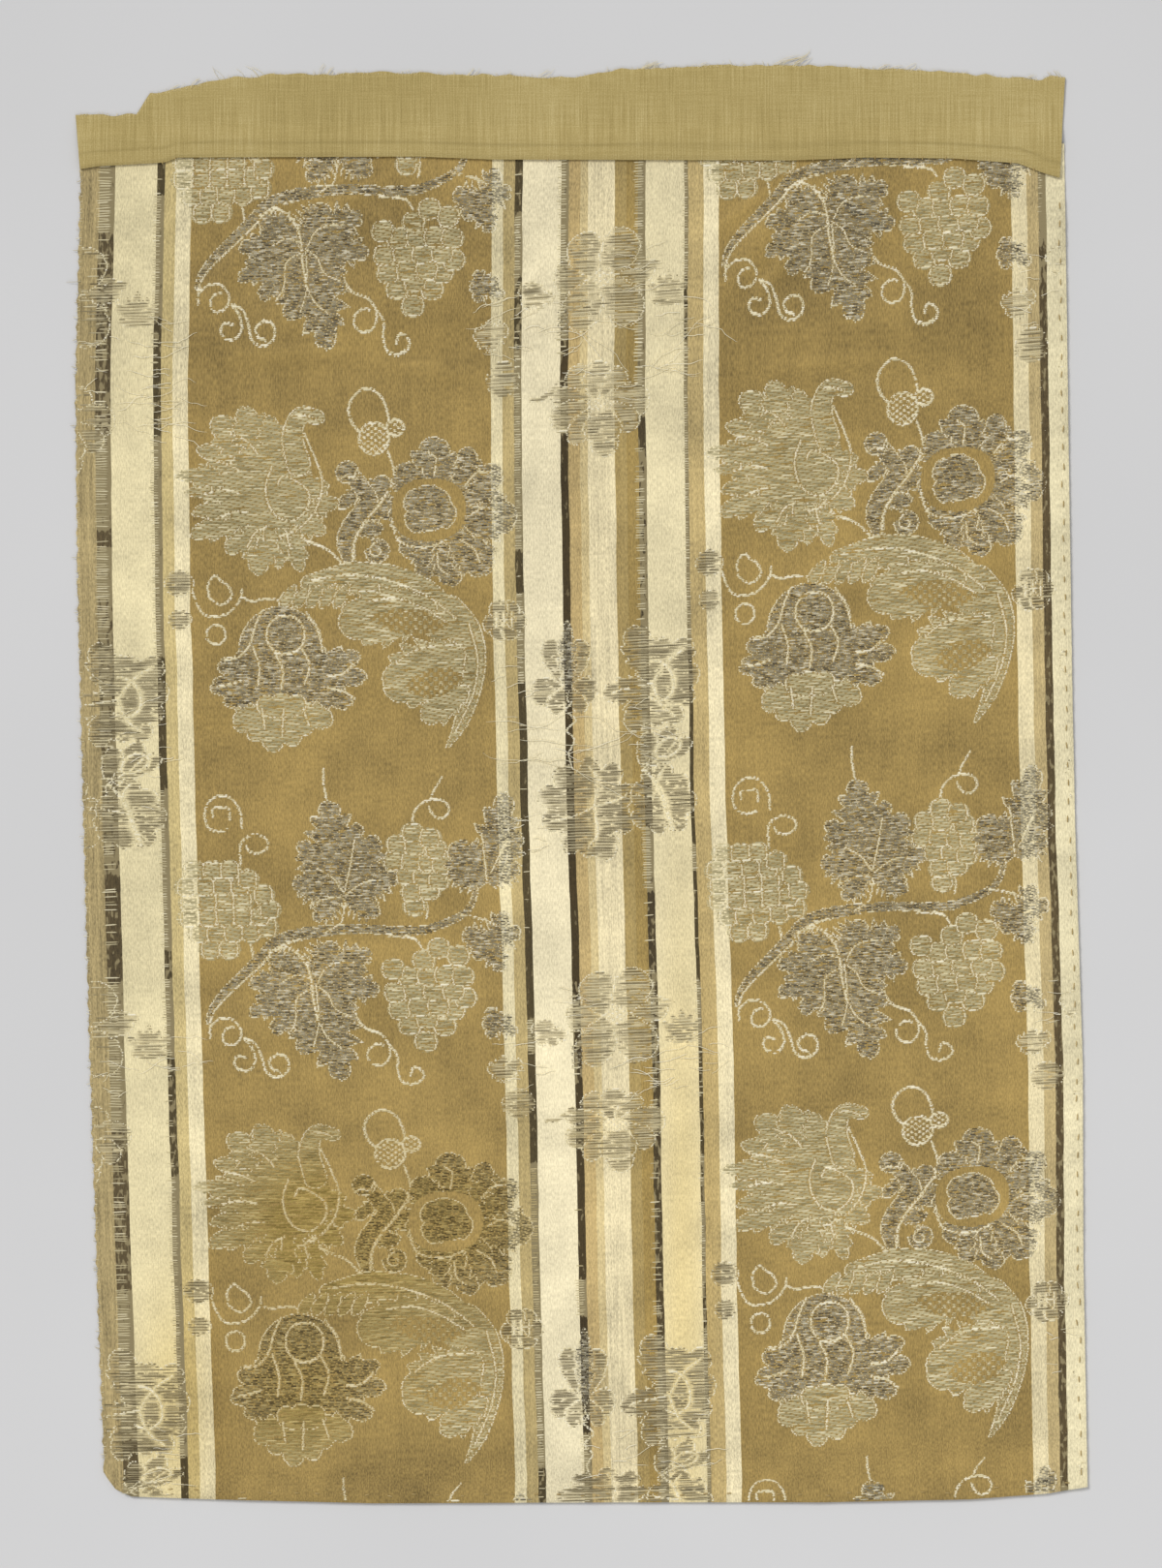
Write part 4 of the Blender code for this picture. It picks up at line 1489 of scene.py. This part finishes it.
def edge_frays(material, tree):
    """Short weft ends standing out along the bare left edge."""
    chance = np.random.default_rng(23)
    lines = []
    for y in np.arange(-352, 316, EDGE_FRAY_PITCH):
        y = y + chance.normal(0, 0.6)
        x = offsets(LEFT_EDGE, y)
        out = chance.gamma(1.6, 0.55)
        drop = chance.normal(0, 0.5)
        share = np.linspace(0, 1, 4)
        height = np.interp(share, [0, 0.5, 1], [BROCADE_THICK + 0.1, 0.9, 0.35])
        xs, ys = x + 1.5 - (1.5 + out) * share, y + drop * share**2
        lines.append(np.stack([xs, ys, height], axis=-1))
    thick = chance.uniform(0.3, 0.5, len(lines))
    return thread_lines(
        "left_edge_frays", lines, thick, chance.uniform(0.0, 0.8, len(lines)), material, tree, 3,
    )


BOTTOM_STITCH_PITCH = 12.5
TACK_PITCH = 11.5  # along the heading's fold
ODD_TACKS = (-216, -210, -18, 44, 78)
SEWING_THICK = 0.6


def hem_stitches(material, tree):
    """Running stitches along both turned edges, and the tacks that hold the heading."""
    chance = np.random.default_rng(29)
    lines = []

    def stitch(x, y, dx, dy, lift):
        share = np.linspace(0, 1, 5)
        xs, ys = x + dx * share, y + dy * share
        bow = np.interp(share, [0, 0.25, 0.75, 1], [-0.1, 0.35, 0.35, -0.1])
        lines.append(np.stack([xs, ys, lift + bow], axis=-1))

    for y in np.arange(-356, 305, STITCH_PITCH):
        at = y + chance.normal(0, 0.5)
        x = offsets(RIGHT_EDGE, at) - 3.2 + chance.normal(0, 0.3)
        stitch(x, at, chance.normal(0, 0.3), 3.4, float(face_height(x, at + 1.6)))
    for x in np.arange(-238, 255, BOTTOM_STITCH_PITCH):
        at = x + chance.normal(0, 0.8)
        y = offsets(BOTTOM_EDGE, at) + 4.5 + chance.normal(0, 0.4)
        stitch(at, y, 2.6, chance.normal(0, 0.3), float(face_height(at + 1.3, y)))
    for x in np.concatenate([np.arange(118, 240, TACK_PITCH), ODD_TACKS]):
        at = x + chance.normal(0, 0.6)
        y = offsets(HEADING_LOWER_EDGE, at) - 0.8
        stitch(
            at, y, 0.5, 2.4,
            BROCADE_THICK + SEAM_GAP + HEADING_THICK * 0.75 + float(ripple_height(at, y)),
        )
    thick = np.full(len(lines), SEWING_THICK)
    return thread_lines(
        "hem_stitches", lines, thick, chance.uniform(0.2, 0.7, len(lines)), material, tree,
    )


# ---------------------------------------------------------------- the heading

HEADING_PITCH = 2.4  # between the lines of the heading's grid, along it
HEADING_FRAY_PITCH = 1.6
# Closer rows over the fold, as shares of the heading's height.
FOLD_ROWS = (0, 0.012, 0.03, 0.06, 0.1, 0.14, 0.17)


def heading_places(share, up):
    """x, y and underside of the heading at a share along it and a share from its fold to its torn
    edge."""
    lower, upper = HEADING_LOWER_EDGE, HEADING_UPPER_EDGE
    low_x = lower[0].along + share * (lower[-1].along - lower[0].along)
    top_x = upper[0].along + share * (upper[-1].along - upper[0].along)
    fold, torn = offsets(lower, low_x), offsets(upper, top_x)
    y = fold + up * (torn - fold)
    x = low_x + up * (top_x - low_x)
    on_brocade = BROCADE_THICK + SEAM_GAP
    lift = on_brocade * (1 - eased((y - HEADING_CLEAR) / HEADING_DROP))
    return x, y, lift, y - fold, torn - y


def heading_cloth(material):
    share = np.linspace(0, 1, round(510 / HEADING_PITCH) + 1)
    up = np.concatenate([FOLD_ROWS, np.linspace(0.2, 0.985, 20), [1.0]])
    share, up = np.meshgrid(share, up)
    x, y, lift, from_fold, from_torn = heading_places(share, up)
    turned = HEADING_TURN_RISE * (1 - eased((from_fold - HEADING_TURN_IN) / 1.5))
    turned = np.where(from_fold < 0.6, HEADING_TURN_RISE - EDGE_DROP, turned)
    wave = 0.16 * np.sin(x / 14.0 + np.sin(y / 9.0)) + 0.1 * np.sin(x / 5.0 + y / 7.0)
    wave = wave * eased(from_fold / 6)
    over_z = lift + HEADING_THICK + turned + wave
    over_z = over_z - EDGE_DROP * (from_torn < 0.5)
    chance = np.random.default_rng(41)
    ragged = np.convolve(chance.normal(0, 0.8, share.shape[1]), [0.3, 0.4, 0.3], "same")
    y = y + ragged * eased(up * 12 - 11)
    over = np.stack([x, y, over_z], axis=-1)
    under = np.stack([x, y, lift], axis=-1)
    cloth = closed_sheet("heading_cloth", under, over, material)
    set_map(cloth.data, "weave", np.stack([both_faces(x), both_faces(y)], axis=-1) * MM)
    # Painted shade: a dark line just past the turned-in edge, where the step down from it falls in shade.
    turn = np.exp(-(((from_fold - HEADING_TURN_IN - 0.6) / 0.8) ** 2))
    set_values(cloth.data, "painted_turn_in_shade", both_faces(turn))
    return cloth


def heading_material():
    """Plain-woven cotton, olive with age. Slubs in both directions give it short pale and dark
    dashes."""
    material, tree, shader = new_material("plain_woven_cotton_aged_olive")
    weave = add(tree, "ShaderNodeUVMap", uv_map="weave").outputs["UV"]
    warps = noise(tree, stretched(tree, weave, (1.0, 0.02, 1.0)), 1400.0, 3.0, Roughness=0.7)
    wefts = noise(tree, stretched(tree, weave, (0.03, 1.0, 1.0)), 1400.0, 3.0, Roughness=0.7)
    patches = noise(tree, weave, 12.0, 3.0)
    fine = noise(tree, weave, 1500.0, 1.0)
    both = maths(tree, "MULTIPLY_ADD", wefts, 0.4, warps)
    more = maths(tree, "MULTIPLY_ADD", patches, 0.5, both)
    most = maths(tree, "MULTIPLY_ADD", fine, 0.5, more)
    share = spanned(tree, most, 0.65, 1.75, 0.0, 1.0)
    colour = shaded_ramp(tree, share, ((0.0, "#8D7B48"), (0.5, "#B09D65"), (1.0, "#CFBF8A")))
    # Painted shade: darkens the cotton towards #7A6A3C along the turned-in edge.
    turn_in_shade = maths(tree, "MULTIPLY", stored(tree, "painted_turn_in_shade"), 0.35)
    tree.links.new(tinted(tree, turn_in_shade, colour, "#7A6A3C"), shader.inputs["Base Color"])
    bump = add(tree, "ShaderNodeBump", {"Strength": 0.4, "Distance": 0.0003, "Height": most})
    tree.links.new(bump.outputs[0], shader.inputs["Normal"])
    finish(shader, Roughness=0.85, Specular_IOR_Level=0.2)
    return material


Wisp = namedtuple("Wisp", "x rise sweep count")

# Loose threads of the torn edge: where, how far they stand out and lean, and how many lie together.
WISPS = table(Wisp, [
    (-211, 3, 4, 3), (-202, 4, 5, 4), (-182, 6, -6, 3), (-163, 5, -7, 3), (-136, 5, 3, 3),
    (-131, 4, 4, 2), (-60, 3, 5, 4), (-22, 4, 6, 4), (28, 4, 9, 6), (35, 4, 5, 4), (102, 6, 14, 6),
    (108, 8, 11, 5), (153, 3, 7, 4), (166, 3, 6, 3), (228, 2, 5, 3), (245, 3, -3, 3), (60, 2, 5, 3),
    (-90, 2, 5, 3), (190, 2, 5, 3),
])


def heading_frays(material, tree):
    chance = np.random.default_rng(53)
    lines = []
    share = np.linspace(0, 1, 7)

    def wisp(x, rise, sweep):
        y = offsets(HEADING_UPPER_EDGE, x) - 1.2
        bend = chance.uniform(0.6, 1.8)
        xs = x + sweep * share**bend
        ys = y + (rise + 1.2) * share ** (1 / bend)
        lines.append(np.stack([xs, ys, np.interp(share, [0, 0.3, 1], [0.95, 0.9, 0.35])], axis=-1))

    for place in WISPS:
        for _ in range(place.count):
            wisp(
                place.x + chance.normal(0, 2.0), place.rise * chance.uniform(0.5, 1.1),
                place.sweep * chance.uniform(0.6, 1.2),
            )
    for x in np.arange(-260, 249, HEADING_FRAY_PITCH):
        wisp(x + chance.normal(0, 0.5), chance.gamma(1.5, 0.45), chance.normal(0.4, 1.1))
    thick = chance.uniform(0.16, 0.28, len(lines))
    return thread_lines(
        "heading_frays", lines, thick, chance.uniform(0.5, 1, len(lines)), material, tree, 3,
    )


# ---------------------------------------------------------------- table, light and camera

TABLE_HALF = 3.0  # metres
TABLE_BELOW = 0.0004  # metres under the cloth's underside
CAMERA_PLACE = (-0.0005, 0.00025, 2.4)
SENSOR_WIDE, LENS = 36.0, 106.7
ROOM_LIGHT = 0.46


def pale_table():
    material, tree, shader = new_material("matt_paper_backdrop")
    place = add(tree, "ShaderNodeTexCoord").outputs["Object"]
    clouds = noise(tree, place, 3.0, 3.0, False)
    colour = shaded_ramp(tree, clouds, ((0.3, "#CFCFD0"), (0.7, "#D4D4D5")))
    tree.links.new(colour, shader.inputs["Base Color"])
    finish(shader, Roughness=0.9, Specular_IOR_Level=0.1)
    half = TABLE_HALF
    corners = [(-half, -half, 0), (half, -half, 0), (half, half, 0), (-half, half, 0)]
    top = mesh_object("table", corners, [(0, 1, 2, 3)], material)
    move_points(top.data, points_of(top.data) - (0, 0, TABLE_BELOW))


def turned_to(lamp, place, aim):
    """Puts a lamp at a place, facing a point."""
    lamp.location = place
    way = np.array(aim) - np.array(place)
    lamp.rotation_euler = (
        math.acos(-way[2] / np.linalg.norm(way)), 0, math.atan2(way[1], way[0]) - math.pi / 2,
    )


def lamp_object(name, kind, place, aim, **settings):
    data = bpy.data.lights.new(name, kind)
    for key, value in settings.items():
        setattr(data, key, value)
    lamp = bpy.data.objects.new(name, data)
    bpy.context.scene.collection.objects.link(lamp)
    turned_to(lamp, place, aim)


def light_and_camera():
    world = bpy.data.worlds.new("even_room_light")
    world.use_nodes = True
    sky = world.node_tree.nodes["Background"]
    sky.inputs["Color"].default_value = (1.0, 1.0, 1.0, 1.0)
    sky.inputs["Strength"].default_value = ROOM_LIGHT
    bpy.context.scene.world = world
    lamp_object(
        "upper_left_window", "SUN", (-1.5, 1.7, 2.3), (0, 0, 0),
        energy=1.85, angle=math.radians(22), color=(1.0, 0.99, 0.975),
    )
    lamp_object(
        "near_edge_fill", "AREA", (0.5, -2.4, 2.2), (0, -0.2, 0),
        energy=20.0, shape="SQUARE", size=1.5, color=(0.98, 0.99, 1.0),
    )
    camera = bpy.data.cameras.new("overhead")
    camera.sensor_width = SENSOR_WIDE
    camera.lens = LENS
    holder = bpy.data.objects.new("overhead", camera)
    holder.location = CAMERA_PLACE
    bpy.context.scene.collection.objects.link(holder)
    bpy.context.scene.camera = holder
    bpy.context.scene.view_settings.view_transform = "Standard"


# ---------------------------------------------------------------- putting it together

def main():
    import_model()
    squares = chart()
    floats_tree, threads_tree = laid_floats_tree(), spun_threads_tree()
    shapes = (
        float_shape("short_float", [(0.0, 1.0)]),
        float_shape("long_float", [(-0.3, 0.95), (0.3, 0.95)]),
    )
    silk = ground_silk(silk_material())
    heading = heading_cloth(heading_material())
    stuffs = {TWILL: TARNISHED, FLAT: PALE, LINED: LONG_FLOATS, OUTLINE: CREAM_SILK}
    materials = {kind: thread_material(stuff) for kind, stuff in stuffs.items()}
    on_silk = lay_figures(squares, materials, shapes, floats_tree)
    wefts = thread_material(BARE_WEFT)
    on_silk.append(bare_wefts(wefts, shapes, floats_tree))
    on_silk.append(frayed_silk(materials[OUTLINE], threads_tree))
    on_silk.append(edge_frays(wefts, threads_tree))
    on_silk.append(hem_stitches(thread_material(SEWING), threads_tree))
    on_heading = [heading_frays(thread_material(LOOSE_COTTON), threads_tree)]
    for shape in shapes:
        remove(shape)

    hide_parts("brocade_panel")
    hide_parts("heading_band")
    for piece in [silk, heading, *on_silk, *on_heading]:
        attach(piece, "root")
    pale_table()
    light_and_camera()


main()
